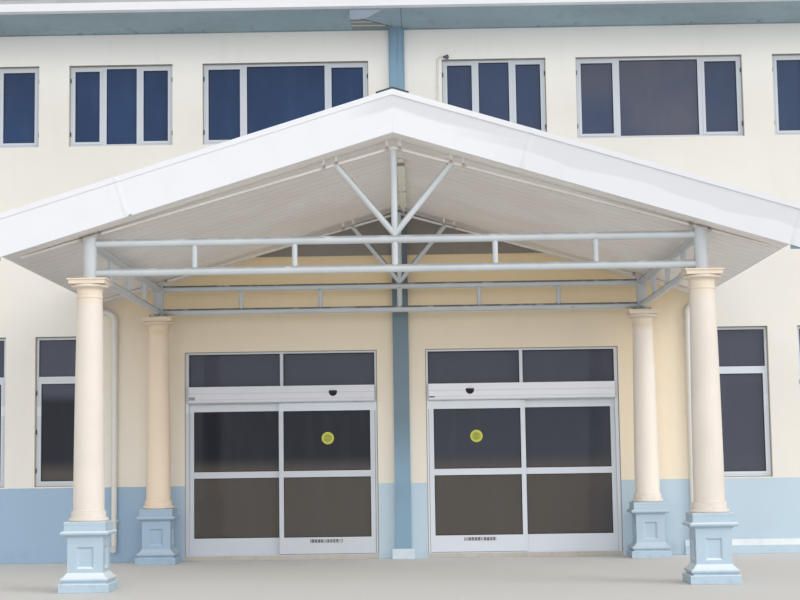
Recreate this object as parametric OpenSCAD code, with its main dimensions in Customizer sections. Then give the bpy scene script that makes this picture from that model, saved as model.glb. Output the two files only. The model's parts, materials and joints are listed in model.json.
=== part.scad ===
// Entrance front of a two-storey building: a gabled canopy on four columns
// shelters two automatic sliding door sets in a rendered wall.
// X runs along the wall, Y into the building, Z up; sizes in millimetres.

/* [Wall] */
// Thickness of the masonry wall
wall_t = 220; // [180:5:300]
// Wall length to the left of the centre line
wall_left = 7730; // [7730:10:9000]
// Wall length to the right of the centre line
wall_right = 7050; // [7050:10:9000]
// Height of the wall at the eave soffit
wall_h = 7510; // [7300:10:8200]
// Height of the joint between the ground storey and the upper storey
storey_h = 3400; // [3250:10:3500]
// Width of the pilaster on the centre line
pilaster_w = 220; // [160:5:300]
// How far the pilaster stands out of the wall
pilaster_d = 80; // [50:5:120]
// How far the base of the pilaster stands out of it on each side
pilaster_base_out = 45; // [20:5:60]
// Height of the base of the pilaster
pilaster_base_h = 135; // [90:5:180]
// Height of the base ledge on the right of the porch
ledge_h = 200; // [120:5:300]
// How far the base ledge stands out of the wall
ledge_d = 50; // [20:5:90]
// Centre line to the inner end of the base ledge, which runs on the right only
ledge_start = 3900; // [3800:10:4300]

/* [Eave of the building] */
// Overhang of the eave in front of the wall
eave_d = 1090; // [800:10:1300]
// Thickness of the eave soffit board
eave_board_t = 20; // [10:1:30]
// Height of the eave gutter
eave_gutter_h = 200; // [180:5:230]
// Height of the face of the eave gutter under its recess
eave_gutter_face = 120; // [80:5:130]
// Depth of the recess between that face and the lip
eave_gutter_step = 12; // [6:1:20]
// Height of the lip of the eave gutter
eave_gutter_lip = 30; // [20:1:40]
// Width of the eave gutter
eave_gutter_w = 130; // [90:5:180]
// Thickness of the board behind the eave gutter
eave_fascia_t = 25; // [18:1:35]
// Spacing of the rafters over the eave
eave_rafter_pitch = 1200; // [900:10:1500]
// Width of the rafters over the eave
eave_rafter_w = 50; // [40:5:70]
// Slope of the roof behind the eave, in degrees
eave_pitch = 15; // [8:1:25]

/* [Upper windows] */
// Height of the sills above the ground
upper_sill = 5877; // [5800:5:6000]
// Height of the upper windows
upper_win_h = 1180; // [1000:10:1300]
// Width of a wide window
wide_win_w = 2375; // [2200:5:2380]
// Width of a narrow window
narrow_win_w = 1485; // [1300:5:1490]
// Edge to the first mullion of a wide window
wide_side_w = 597; // [450:1:650]
// Edge to the first mullion of a narrow window
narrow_side_w = 495; // [400:1:520]
// Width of the window mullions
win_mullion_w = 62; // [45:1:75]
// Width of the wall between two windows
win_pier_w = 430; // [420:5:500]
// Centre line to the first window on the left
win_start_left = 410; // [350:5:420]
// Centre line to the first window on the right
win_start_right = 645; // [600:5:650]

/* [Ground windows] */
// Height of the sills above the ground
ground_sill = 1055; // [950:5:1100]
// Height of the ground windows
ground_win_h = 2104; // [1900:2:2150]
// Width of a ground window
ground_win_w = 950; // [800:5:980]
// Wall between two ground windows
ground_pier_w = 415; // [380:5:460]
// Centre line to the outer edge of the first ground window
ground_win_edge = 5155; // [5100:5:5300]
// Height of the transom light over each ground casement
ground_transom_h = 592; // [450:2:650]

/* [Window parts] */
// Setback of the window frames from the wall face
win_setback = 70; // [40:5:110]
// How far the opening sashes stand in front of the frames
win_sash_out = 8; // [3:1:15]
// Height of the bar under the transom lights
ground_bar_h = 65; // [50:1:100]
// Depth of the window frames
win_frame_d = 60; // [40:5:80]
// Face width of the outer window frames
win_frame_w = 40; // [30:1:55]
// Face width of the opening sashes
win_sash_w = 36; // [25:1:45]
// Thickness of every glass pane
glass_t = 8; // [5:1:12]

/* [Door sets] */
// Centre line to the inner side of each door set
door_inner = 340; // [300:5:380]
// Width of each door set
door_w = 2705; // [2600:5:2800]
// Height of the door floor above the lowest foot
door_floor = 60; // [40:5:80]
// Height of the top of the door frames
door_head = 2906; // [2850:2:2960]
// Setback of the door frames from the wall face
door_setback = 20; // [15:1:40]
// Depth of the door frames
door_frame_d = 120; // [115:5:150]
// Face width of the outer jambs
outer_jamb_w = 55; // [45:1:70]
// Face width of the inner jambs
inner_jamb_w = 35; // [30:1:40]
// Height of the head member
door_head_h = 33; // [25:1:50]
// Face width of the mullion between the two transom lights
transom_mullion_w = 45; // [35:1:60]
// Height of the lower edge of the operator covers
cover_bottom = 2179; // [2150:1:2200]
// Height of the operator covers
cover_h = 236; // [200:2:260]
// How far the operator covers stand out of the wall face
cover_proud = 35; // [20:1:60]
// Wall of the operator covers
cover_t = 6; // [4:1:8]
// Radius of the lower edge of the operator covers
cover_round = 40; // [30:1:50]
// Depth of the grooves along the operator covers
cover_groove_d = 3; // [1:0.5:4]

/* [Door leaves] */
// Thickness of a leaf
leaf_t = 40; // [35:1:42]
// Width of the stiles
stile_w = 64; // [50:1:80]
// Height of the top rails
top_rail_h = 110; // [90:2:130]
// Height of the bottom rails
bottom_rail_h = 228; // [180:2:260]
// Height of the middle rails
mid_rail_h = 88; // [70:2:110]
// Height of the underside of the middle rails
mid_rail_z = 1138; // [1000:2:1300]
// Overlap of the sliding leaf on the fixed leaf
leaf_overlap = 45; // [30:1:60]
// Clearance around the sliding leaf
leaf_gap = 6; // [5:0.5:8]
// Travel of the sliding leaf
leaf_travel = 1240; // [1000:10:1250]
// Radius of the leaf rollers
roller_r = 20; // [15:1:22]
// Distance of the hangers from the edges of the sliding leaf
hanger_in = 220; // [150:10:300]
// Height of the track above the underside of the operator covers
track_up = 90; // [80:2:110]
// Diameter of the door sensors at the cover
sensor_d = 118; // [90:2:140]
// How far the door sensors stand out of the cover
sensor_out = 34; // [20:1:45]
// Centre line to the middle of the door sensors
sensor_x = 960; // [900:5:1020]

/* [Columns] */
// Centre line to the column axes
column_x = 3340; // [3300:5:3400]
// Wall face to the axes of the front columns
front_y = 5100; // [4800:10:5400]
// Wall face to the axes of the rear columns
rear_y = 450; // [400:10:700]
// Height of the top of the capitals
capital_top = 3360; // [3340:5:3375]
// Radius of the shafts at the foot
shaft_r = 167; // [155:1:175]
// Radius of the shafts at the neck
neck_r = 137; // [125:1:150]
// Width of the square slab on the capitals
abacus_w = 424; // [410:2:450]
// Height of the square slab on the capitals
abacus_h = 58; // [50:1:70]
// Radius of the round moulding under the slab
echinus_r = 200; // [188:1:204]
// Height of the round moulding under the slab
echinus_h = 37; // [30:1:42]
// Radius of the hollow below the round moulding
bell_r = 48; // [38:1:54]
// Radius of the ring at the foot of the shafts
torus_r = 213; // [205:1:220]
// Height of the ring at the foot of the shafts
torus_h = 44; // [36:1:52]
// Radius of the band above that ring
band_r = 186; // [180:1:192]

/* [Plinths] */
// Height of the plinths
plinth_h = 742; // [700:2:780]
// Width of the bottom block
block_w = 540; // [520:5:560]
// Width over the round mouldings at the foot and under the cap
moulding_w = 514; // [500:2:518]
// Width of the die
die_w = 382; // [370:2:400]
// Width of the cap under the shaft
cap_w = 446; // [440:2:466]
// Height of the cap under the shaft
cap_h = 98; // [80:2:110]
// Width of the sunk panel on each face
panel_w = 180; // [140:2:200]
// Depth of the sunk panels
panel_d = 22; // [10:1:28]

/* [Steelwork] */
// Diameter of the posts on the capitals
post_d = 150; // [120:2:170]
// Diameter of the chords
chord_d = 89; // [70:1:100]
// Width of the base plates under the rear posts
base_plate_w = 250; // [200:5:300]
// Thickness of the base plates
base_plate_t = 16; // [10:1:20]
// Diameter of the struts between the chords
strut_d = 60; // [40:1:70]
// Diameter of the king posts and diagonals
brace_d = 70; // [50:1:80]
// Height of the slim rafters
rafter_h = 26; // [20:1:40]
// Width of the slim rafters
rafter_w = 50; // [40:1:80]
// Gap between the rafters and the soffit at the ridge; it closes towards the eaves
rafter_gap = 98; // [60:1:110]
// Width of the cleats that carry the soffit on the rafters
cleat_w = 30; // [20:1:45]
// Height of the axis of the bottom chords
bottom_chord_z = 3436; // [3430:2:3450]
// Height of the axis of the top chords
top_chord_z = 3757; // [3700:2:3780]
// Spacing of the struts along the front and rear chords
strut_pitch = 1097; // [900:5:1110]
// Number of struts in each side beam
side_struts = 3; // [1:1:5]
// Where the diagonals meet the rafters, from the centre line
diagonal_x = 700; // [500:10:900]

/* [Canopy roof] */
// Height of the soffit at the ridge
soffit_top = 4880; // [4850:5:4950]
// Fall of the soffit for each unit across
fall = 0.305; // [0.295:0.005:0.31]
// Centre line to the soffit edge at the eaves
canopy_half = 4220; // [4150:10:4300]
// Wall face to the back of the front fascia
canopy_d = 5430; // [5400:10:5800]
// Thickness of the soffit sheets
soffit_t = 20; // [10:1:30]
// Thickness of the roof sheets
roof_t = 20; // [10:1:30]
// Height of the ribs on the roof sheets
roof_rib_h = 28; // [20:1:35]
// Spacing of the ribs of the roof and of the grooves of the soffit
rib_pitch = 250; // [180:5:400]
// Width of the ribs at their foot
rib_w = 50; // [30:2:70]
// Width of the grooves in the soffit
groove_w = 14; // [8:1:25]
// Depth of the grooves in the soffit
groove_d = 6; // [3:1:8]
// Height of the front fascia, measured upright
fascia_h = 470; // [420:5:520]
// Thickness of the front fascia
fascia_t = 20; // [10:1:30]
// Height of the capping on the fascia
fascia_cap_h = 62; // [40:1:80]
// How far the capping stands out of the fascia
fascia_cap_d = 14; // [8:1:25]
// How far the canopy gutters stand above the soffit edge
gutter_up = 80; // [60:5:100]
// How far the front end plates hang below the canopy gutters
gutter_plate = 137; // [110:1:160]
// Width of the canopy gutters
gutter_w = 120; // [90:5:160]
// Height of the canopy gutters
gutter_h = 110; // [80:5:140]
// Wall of the gutters
gutter_t = 5; // [3:1:8]
// Width of each wing of the ridge capping
ridge_wing = 175; // [120:5:250]
// Thickness of the ridge capping
ridge_cap_t = 12; // [6:1:18]
// Lower edge of the dark panel in the rear gable
gable_panel_z = 4244; // [4150:2:4300]
// Thickness of the gable panel
gable_panel_t = 20; // [10:1:30]

/* [Services] */
// Diameter of the downpipes
pipe_d = 80; // [60:1:100]
// Distance from the gutter outlet to the axis of the downpipe
swan_reach = 280; // [240:5:340]
// Gap between the downpipes and the wall
pipe_off = 25; // [10:1:40]
// Radius of the pipe bends
bend_r = 130; // [90:5:135]
// Angle of the swan neck bends
swan_angle = 75; // [50:5:75]
// Length of the sockets on the bends
socket_l = 44; // [30:2:50]
// How much thicker the sockets are than the pipe
socket_t = 4; // [2:0.5:6]
// Centre line to the middle of the light fittings, which hang on the right slope
light_x = 70; // [60:2:100]
// Width of the light fittings
light_w = 86; // [80:2:110]
// Height of the light fittings
light_h = 90; // [70:2:110]
// Length of the front light fitting
light_front_l = 1780; // [1200:10:1800]
// Length of the rear light fitting
light_rear_l = 1300; // [900:10:1400]
// Gap between the two light fittings
light_gap = 20; // [10:5:60]
// Wall face to the rear end of the light fittings
light_back = 960; // [700:10:1100]

/* [Hidden] */
$fn = 64;

// Gap between curved or sloping pieces that rest on each other
seat = 0.3;
// How far fused shapes run into each other, and cuts past an edge
lap = 1;
// Length that clears any cut
far = 20000;
cream = "#ece6d8";
dado_blue = "#a9bfd0";
pilaster_blue = "#7b98ab";
steel_grey = "#c2c9cc";
white_metal = "#e9ebee";
frame_grey = "#c9ced4";
dark_glass = "#3c4048";
soffit_grey = "#bdb7b0";

// Windows on the upper storey as [left edge, width], from left to right
upper_windows = [
    [-win_start_left - 2 * wide_win_w - narrow_win_w - 2 * win_pier_w, wide_win_w],
    [-win_start_left - wide_win_w - narrow_win_w - win_pier_w, narrow_win_w],
    [-win_start_left - wide_win_w, wide_win_w],
    [win_start_right, narrow_win_w],
    [win_start_right + narrow_win_w + win_pier_w, wide_win_w],
    [win_start_right + narrow_win_w + wide_win_w + 2 * win_pier_w, narrow_win_w]
];
// Left edges of the ground windows
ground_windows_left = [
    -ground_win_edge - ground_pier_w - ground_win_w,
    -ground_win_edge
];
ground_windows_right = [
    ground_win_edge - ground_win_w,
    ground_win_edge + ground_pier_w
];
upper_win_top = upper_sill + upper_win_h;
door_outer = door_inner + door_w;
frame_back = door_setback + door_frame_d;
// Sliding leaf, free space behind it and the front of the fixed leaf
slider_y = door_setback + 10;
leaf_space = 15;
fixed_y = slider_y + leaf_t + leaf_space;
// Front of the bar that carries the track
bar_front = slider_y + leaf_t + 10;
sill_h = 10;
cover_top = cover_bottom + cover_h;
jamb_in = door_inner + inner_jamb_w;
jamb_out = door_outer - outer_jamb_w;
set_mid = (jamb_in + jamb_out) / 2;
slider_in = jamb_in + leaf_gap;
slider_out = set_mid + leaf_overlap;
fixed_in = set_mid - leaf_overlap / 2;
leaf_foot = door_floor + sill_h + leaf_gap;
slider_top = cover_bottom - leaf_gap;
fixed_top = cover_bottom;
rail_top = cover_bottom + track_up;
track_w = 20;
track_t = 12;
stop_w = 25;
hanger_w = 80;
hanger_t = 8;
roller_w = 19;
// Edge of the building's roof over the gutter, and its height over the gutter
roof_edge = -eave_d - 40;
roof_lift = 5;
// Outer side of the outer roller when the leaf is fully open
roller_reach = slider_out - hanger_in + roller_r + leaf_travel;

function soffit_z(x) = soffit_top - fall * abs(x);
slope_angle = atan(fall);
// Outer end of the rafters, the gap left there and their fall for each unit across
rafter_end = canopy_half - 120;
rafter_end_gap = 2;
rafter_fall = fall - (rafter_gap - rafter_end_gap) / rafter_end;
function rafter_top(x) = soffit_top - rafter_gap - rafter_fall * abs(x);
eave_out = canopy_half + fascia_t + gutter_w;
// How far the front fascia runs past the gutters and hangs below the soffit
fascia_over = 20;
fascia_drop = 6;

// Box from one corner to the opposite one
module block(a, b) {
    translate(a)
        cube([b[0] - a[0], b[1] - a[1], b[2] - a[2]]);
}

// Copy on the right as drawn and on the left mirrored
module both_sides() {
    children();
    mirror([1, 0, 0]) children();
}

// Round bar between two points
module bar(a, b, d) {
    v = b - a;
    l = norm(v);
    translate(a)
        rotate([0, acos(v[2] / l), atan2(v[1], v[0])])
            cylinder(d = d, h = l);
}

// Profile drawn in the X-Z plane and carried along Y from y0 to y1
module along_y(y0, y1) {
    translate([0, y1, 0])
        rotate([90, 0, 0])
            linear_extrude(height = y1 - y0)
                children();
}

// Profile drawn in the Y-Z plane and carried along X from x0 to x1
module along_x(x0, x1) {
    translate([x0, 0, 0])
        rotate([90, 0, 90])
            linear_extrude(height = x1 - x0)
                children();
}

module ground_windows_cut(edges) {
    for (x = edges)
        block([x, -1, ground_sill], [x + ground_win_w, wall_t + 1, ground_sill + ground_win_h]);
}

module ground_wall_left() {
    color(cream)
        difference() {
            block([-wall_left, 0, 0], [-door_outer, wall_t, storey_h]);
            ground_windows_cut(ground_windows_left);
        }
}

module ground_wall_centre() {
    color(cream)
        block([-door_inner, 0, 0], [door_inner, wall_t, door_head]);
}

module ground_wall_right() {
    color(cream)
        difference() {
            block([door_outer, 0, 0], [wall_right, wall_t, storey_h]);
            ground_windows_cut(ground_windows_right);
        }
}

module door_lintel() {
    color(cream)
        block([-door_outer, 0, door_head], [door_outer, wall_t, storey_h]);
}

module door_sills() {
    color("#b9b6b0")
        both_sides()
            block([door_inner, 0, 0], [door_outer, wall_t, door_floor]);
}

module upper_wall_band() {
    color(cream)
        block([-wall_left, 0, storey_h], [wall_right, wall_t, upper_sill]);
}

// Walls between the upper windows
module upper_wall_piers() {
    edges = concat(
        [-wall_left],
        [for (w = upper_windows) each [w[0], w[0] + w[1]]],
        [wall_right]
    );
    color(cream)
        for (i = [0 : 2 : len(edges) - 2])
            block([edges[i], 0, upper_sill], [edges[i + 1], wall_t, upper_win_top]);
}

// Wall above the upper windows, cut off under the sloping roof
module upper_wall_head() {
    color(cream)
        along_x(-wall_left, wall_right)
            polygon([
                [0, upper_win_top],
                [wall_t, upper_win_top],
                [wall_t, eave_roof_z(wall_t)],
                [0, eave_roof_z(0)]
            ]);
}

module pilaster() {
    color(pilaster_blue)
        block([-pilaster_w / 2, -pilaster_d, pilaster_base_h], [pilaster_w / 2, 0, wall_h]);
}

// Ledge at the foot of the wall and the low base under the pilaster
module base_ledges() {
    base_x = pilaster_w / 2 + pilaster_base_out;
    color(dado_blue) {
        block([-base_x, -pilaster_d - pilaster_base_out, 0], [base_x, 0, pilaster_base_h]);
        block([ledge_start, -ledge_d, 0], [wall_right, 0, ledge_h]);
    }
}

// Underside of the building's roof at depth y
function eave_roof_z(y) = wall_h + eave_gutter_h + roof_lift + (y - roof_edge) * tan(eave_pitch);

// Soffit board with the upright board behind the gutter
module eave_soffit() {
    color("#78888f")
        along_x(-wall_left, wall_right)
            polygon([
                [-eave_d, wall_h], [0, wall_h], [0, wall_h + eave_board_t],
                [-eave_d + eave_fascia_t, wall_h + eave_board_t],
                [-eave_d + eave_fascia_t, eave_roof_z(-eave_d + eave_fascia_t) - seat],
                [-eave_d, eave_roof_z(-eave_d) - seat]
            ]);
}

// Gutter with a flat face, a recess over it and a thick lip along the top
module eave_gutter() {
    front = -eave_d - eave_gutter_w;
    recess = front + eave_gutter_step;
    top = wall_h + eave_gutter_h;
    face_top = wall_h + eave_gutter_face;
    color(white_metal)
        along_x(-wall_left, wall_right)
            difference() {
                polygon([
                    [front, wall_h], [-eave_d, wall_h], [-eave_d, top], [front, top],
                    [front, top - eave_gutter_lip], [recess, top - eave_gutter_lip],
                    [recess, face_top], [front, face_top]
                ]);
                polygon([
                    [front + gutter_t, wall_h + gutter_t], [-eave_d - gutter_t, wall_h + gutter_t],
                    [-eave_d - gutter_t, top + lap], [recess + gutter_t, top + lap],
                    [recess + gutter_t, face_top - gutter_t], [front + gutter_t, face_top - gutter_t]
                ]);
            }
}

// Strip of the roof between the depths y0 and y1, from low to high above its underside
module eave_slope(y0, y1, low, high) {
    polygon([
        [y0, eave_roof_z(y0) + low], [y1, eave_roof_z(y1) + low],
        [y1, eave_roof_z(y1) + high], [y0, eave_roof_z(y0) + high]
    ]);
}

// Roof sheet and the rafters under it
module eave_roof() {
    eave_rafter_h = eave_gutter_h - eave_board_t;
    color("#9aa3a8") {
        along_x(-wall_left, wall_right)
            eave_slope(roof_edge, wall_t, 0, roof_t);
        for (x = [eave_rafter_pitch / 2 - wall_left : eave_rafter_pitch : wall_right - eave_rafter_w])
            along_x(x, x + eave_rafter_w)
                eave_slope(-eave_d + eave_fascia_t, 0, -eave_rafter_h, lap);
    }
}

// Upright frame of width w and height h with border b, from depth y0 to y1
module ring(x, z, w, h, b, y0, y1) {
    difference() {
        block([x, y0, z], [x + w, y1, z + h]);
        block([x + b, y0 - 1, z + b], [x + w - b, y1 + 1, z + h - b]);
    }
}

// Edge to the first mullion of the window w
function side_light(w) = w[1] == wide_win_w ? wide_side_w : narrow_side_w;

// Opening sash that fills a frame opening, standing a little in front of it
module sash(x, z, w, h) {
    ring(x - lap, z - lap, w + 2 * lap, h + 2 * lap, win_sash_w + lap,
        win_setback - win_sash_out, win_setback + win_frame_d - win_sash_out);
}

// Three lights, the outer two with sashes
module upper_window_frames() {
    y0 = win_setback;
    y1 = win_setback + win_frame_d;
    z0 = upper_sill + win_frame_w;
    h = upper_win_h - 2 * win_frame_w;
    color(frame_grey)
        for (w = upper_windows) {
            side = side_light(w) - win_mullion_w / 2;
            ring(w[0], upper_sill, w[1], upper_win_h, win_frame_w, y0, y1);
            for (x = [w[0] + side, w[0] + w[1] - side - win_mullion_w])
                block([x, y0, z0 - lap], [x + win_mullion_w, y1, z0 + h + lap]);
            for (x = [w[0] + win_frame_w, w[0] + w[1] - side])
                sash(x, z0, side - win_frame_w, h);
        }
}

// Pane between two corners, in the middle of the window frames
module pane(x0, z0, x1, z1) {
    y0 = win_setback + win_frame_d / 2 - glass_t / 2;
    block([x0, y0, z0], [x1, y0 + glass_t, z1]);
}

module upper_window_glass() {
    b = win_frame_w + win_sash_w;
    color(dark_glass)
        for (w = upper_windows) {
            side = side_light(w) - win_mullion_w / 2;
            middle = side + win_mullion_w;
            pane(w[0] + b, upper_sill + b, w[0] + side - win_sash_w, upper_win_top - b);
            pane(w[0] + middle, upper_sill + win_frame_w,
                w[0] + w[1] - middle, upper_win_top - win_frame_w);
            pane(w[0] + w[1] - side + win_sash_w, upper_sill + b,
                w[0] + w[1] - b, upper_win_top - b);
        }
}

// Underside of the bar between a ground casement and its transom light
ground_bar_z = ground_sill + ground_win_h - ground_transom_h - ground_bar_h / 2;

module ground_window_frames() {
    y0 = win_setback;
    y1 = win_setback + win_frame_d;
    inner_w = ground_win_w - 2 * win_frame_w;
    z0 = ground_sill + win_frame_w;
    color(frame_grey)
        for (x = concat(ground_windows_left, ground_windows_right)) {
            ring(x, ground_sill, ground_win_w, ground_win_h, win_frame_w, y0, y1);
            block([x + win_frame_w - lap, y0, ground_bar_z],
                [x + win_frame_w + inner_w + lap, y1, ground_bar_z + ground_bar_h]);
            sash(x + win_frame_w, z0, inner_w, ground_bar_z - z0);
        }
}

module ground_window_glass() {
    b = win_frame_w + win_sash_w;
    color(dark_glass)
        for (x = concat(ground_windows_left, ground_windows_right)) {
            pane(x + b, ground_sill + b, x + ground_win_w - b, ground_bar_z - win_sash_w);
            pane(x + win_frame_w, ground_bar_z + ground_bar_h,
                x + ground_win_w - win_frame_w, ground_sill + ground_win_h - win_frame_w);
        }
}

// Door set on the right of the centre line: frame with a solid bar behind the
// cover, the track with its stop on that bar, and the threshold
module door_frame() {
    color(frame_grey) {
        difference() {
            block([door_inner, door_setback, door_floor], [door_outer, frame_back, door_head]);
            block([jamb_in, door_setback - lap, door_floor + sill_h],
                [jamb_out, frame_back + lap, cover_bottom]);
            block([jamb_in, door_setback - lap, cover_bottom - lap],
                [jamb_out, bar_front, cover_top]);
            for (side = [0, 1])
                block([side == 0 ? jamb_in : set_mid + transom_mullion_w / 2,
                        door_setback - lap, cover_top],
                    [side == 0 ? set_mid - transom_mullion_w / 2 : jamb_out,
                        frame_back + lap, door_head - door_head_h]);
        }
        block([jamb_in, bar_front - track_w, rail_top - track_t],
            [jamb_out, bar_front + lap, rail_top]);
        block([roller_reach + leaf_gap, bar_front - track_w, rail_top - lap],
            [roller_reach + leaf_gap + stop_w, bar_front + lap, rail_top + 2 * roller_r]);
    }
}

// Leaf frame between u0 and u1 with a middle rail
module leaf(u0, u1, y0, foot, top) {
    difference() {
        block([u0, y0, foot], [u1, y0 + leaf_t, top]);
        block([u0 + stile_w, y0 - lap, leaf_foot + bottom_rail_h],
            [u1 - stile_w, y0 + leaf_t + lap, mid_rail_z]);
        block([u0 + stile_w, y0 - lap, mid_rail_z + mid_rail_h],
            [u1 - stile_w, y0 + leaf_t + lap, top - top_rail_h]);
    }
}

module leaf_glass(u0, u1, y0, top) {
    y = y0 + leaf_t / 2 - glass_t / 2;
    block([u0 + stile_w, y, leaf_foot + bottom_rail_h], [u1 - stile_w, y + glass_t, mid_rail_z]);
    block([u0 + stile_w, y, mid_rail_z + mid_rail_h],
        [u1 - stile_w, y + glass_t, top - top_rail_h]);
}

module fixed_leaves() {
    color(frame_grey)
        both_sides()
            leaf(fixed_in, jamb_out, fixed_y, door_floor + sill_h, fixed_top);
}

// Panes of the fixed leaves and of the transom lights
module fixed_glass() {
    y = fixed_y + leaf_t / 2 - glass_t / 2;
    color(dark_glass)
        both_sides() {
            leaf_glass(fixed_in, jamb_out, fixed_y, fixed_top);
            block([jamb_in, y, cover_top],
                [set_mid - transom_mullion_w / 2, y + glass_t, door_head - door_head_h]);
            block([set_mid + transom_mullion_w / 2, y, cover_top],
                [jamb_out, y + glass_t, door_head - door_head_h]);
        }
}

// Sliding leaf with two hangers whose rollers run on the track
module sliding_leaf() {
    hanger_y = slider_y + (leaf_t - hanger_t) / 2;
    color(frame_grey) {
        leaf(slider_in, slider_out, slider_y, leaf_foot, slider_top);
        for (u = [slider_in + hanger_in, slider_out - hanger_in]) {
            block([u - hanger_w / 2, hanger_y, slider_top - lap],
                [u + hanger_w / 2, hanger_y + hanger_t, rail_top + 2 * roller_r]);
            translate([u, hanger_y + hanger_t - lap, rail_top + seat + roller_r])
                rotate([-90, 0, 0])
                    cylinder(r = roller_r, h = roller_w);
        }
    }
}

module sliding_glass() {
    color(dark_glass)
        leaf_glass(slider_in, slider_out, slider_y, slider_top);
}

// Outline of the operator cover in the Y-Z plane, made smaller by t on each side
module cover_outline(t) {
    front = -cover_proud + t;
    r = cover_round - t;
    translate([front, cover_bottom + cover_round])
        square([bar_front - front, cover_h - cover_round - t]);
    translate([front + r, cover_bottom + t])
        square([bar_front - front - r, cover_round + lap]);
    translate([front + r, cover_bottom + cover_round])
        circle(r = r);
}

// Cover of the operator: a rounded shell with two grooves along its face, open
// at the back and, behind its front lip, at the bottom
module operator_cover() {
    lip = slider_y - cover_t - 2;
    color("#cfd2d6")
        along_x(jamb_in, jamb_out)
            difference() {
                cover_outline(0);
                cover_outline(cover_t);
                translate([lip, cover_bottom - lap])
                    square([far, track_up - lap]);
                translate([bar_front - cover_t - lap, cover_bottom])
                    square([far, cover_h - cover_t]);
                for (z = [cover_h / 2, cover_h * 4 / 5])
                    translate([-cover_proud - lap, cover_bottom + z])
                        square([cover_groove_d + lap, 2 * cover_groove_d]);
            }
}

// Dome of a sensor: the cap of a sphere, cut off level above its middle
module door_sensors() {
    base_r = sensor_d / 2;
    dome_r = (base_r * base_r + sensor_out * sensor_out) / (2 * sensor_out);
    z = cover_bottom + cover_h * 3 / 5 + cover_groove_d;
    color("#1c1d1f")
        both_sides()
            intersection() {
                translate([sensor_x, dome_r - sensor_out - cover_proud, z])
                    sphere(r = dome_r);
                block([0, -far, 0], [far, -cover_proud, z + base_r / 3]);
            }
}

module left_door_frame() { mirror([1, 0, 0]) door_frame(); }
module left_sliding_leaf() { mirror([1, 0, 0]) sliding_leaf(); }
module left_sliding_glass() { mirror([1, 0, 0]) sliding_glass(); }
module right_door_frame() { door_frame(); }
module right_sliding_leaf() { sliding_leaf(); }
module right_sliding_glass() { sliding_glass(); }
module operator_covers() { both_sides() operator_cover(); }

// Half section of a plinth, from the axis outwards: block, round moulding and
// flare at the foot, die, hollow and round moulding under the cap
module plinth_half() {
    block_h = 91;
    groove_h = 18;
    moulding_r = 23;
    foot_z = block_h + groove_h + moulding_r;
    lip_z = plinth_h - cap_h - moulding_r;
    core = moulding_w / 2 - moulding_r;
    cove_r = core - die_w / 2;
    edge = 6;
    difference() {
        union() {
            polygon([
                [0, 0], [block_w / 2, 0], [block_w / 2, block_h - edge],
                [block_w / 2 - edge, block_h], [core, block_h],
                [core, foot_z + moulding_r], [die_w / 2 + edge, foot_z + moulding_r + cove_r],
                [die_w / 2, foot_z + moulding_r + cove_r + edge],
                [die_w / 2, lip_z - moulding_r - cove_r], [core, lip_z - moulding_r - cove_r],
                [core, plinth_h - cap_h], [cap_w / 2, plinth_h - cap_h],
                [cap_w / 2 - edge / 2, plinth_h - 6 * edge], [cap_w / 2, plinth_h - 5 * edge],
                [cap_w / 2, plinth_h - edge / 2], [cap_w / 2 - edge / 2, plinth_h], [0, plinth_h]
            ]);
            for (z = [foot_z, lip_z])
                translate([core, z]) circle(r = moulding_r);
        }
        translate([core, lip_z - moulding_r - cove_r]) circle(r = cove_r);
        translate([core, lip_z - moulding_r - 2 * cove_r]) square([cove_r, cove_r]);
    }
}

module plinth_section() {
    plinth_half();
    mirror([1, 0]) plinth_half();
}

// Hollow of a sunk panel on the front face, its four sides sloping inwards
module sunk_panel() {
    low = 246;
    high = plinth_h - 265;
    y = -die_w / 2;
    intersection() {
        along_x(-panel_w, panel_w)
            polygon([
                [y - lap, low], [y - lap, high], [y, high],
                [y + panel_d, high - panel_d], [y + panel_d, low + panel_d], [y, low]
            ]);
        linear_extrude(height = plinth_h)
            polygon([
                [-panel_w / 2, y - lap], [panel_w / 2, y - lap], [panel_w / 2, y],
                [panel_w / 2 - panel_d, y + panel_d], [panel_d - panel_w / 2, y + panel_d],
                [-panel_w / 2, y]
            ]);
    }
}

// Plinth whose section runs both ways, so that the mouldings are mitred
module plinth() {
    difference() {
        intersection() {
            along_y(-block_w, block_w) plinth_section();
            along_x(-block_w, block_w) plinth_section();
        }
        for (a = [0 : 90 : 270])
            rotate([0, 0, a]) sunk_panel();
    }
}

// The four places where columns stand
module at_columns() {
    both_sides()
        for (y = [-front_y, -rear_y])
            translate([column_x, y, 0])
                children();
}

module plinths() { color(dado_blue) at_columns() plinth(); }

// Half section of the square slab: two fillets with a hollow between them
module abacus_half() {
    fillet = 14;
    step = 17;
    difference() {
        union() {
            translate([0, capital_top - abacus_h])
                square([abacus_w / 2 - step, abacus_h]);
            translate([0, capital_top - fillet - step])
                square([abacus_w / 2, fillet + step]);
        }
        translate([abacus_w / 2, capital_top - fillet - step]) circle(r = step);
    }
}

module abacus_section() {
    abacus_half();
    mirror([1, 0]) abacus_half();
}

// Radius of the shaft at the share t of its height: the taper quickens upwards
function shaft_radius(t) = shaft_r - (shaft_r - neck_r) * pow(t, 1.6);

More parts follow.
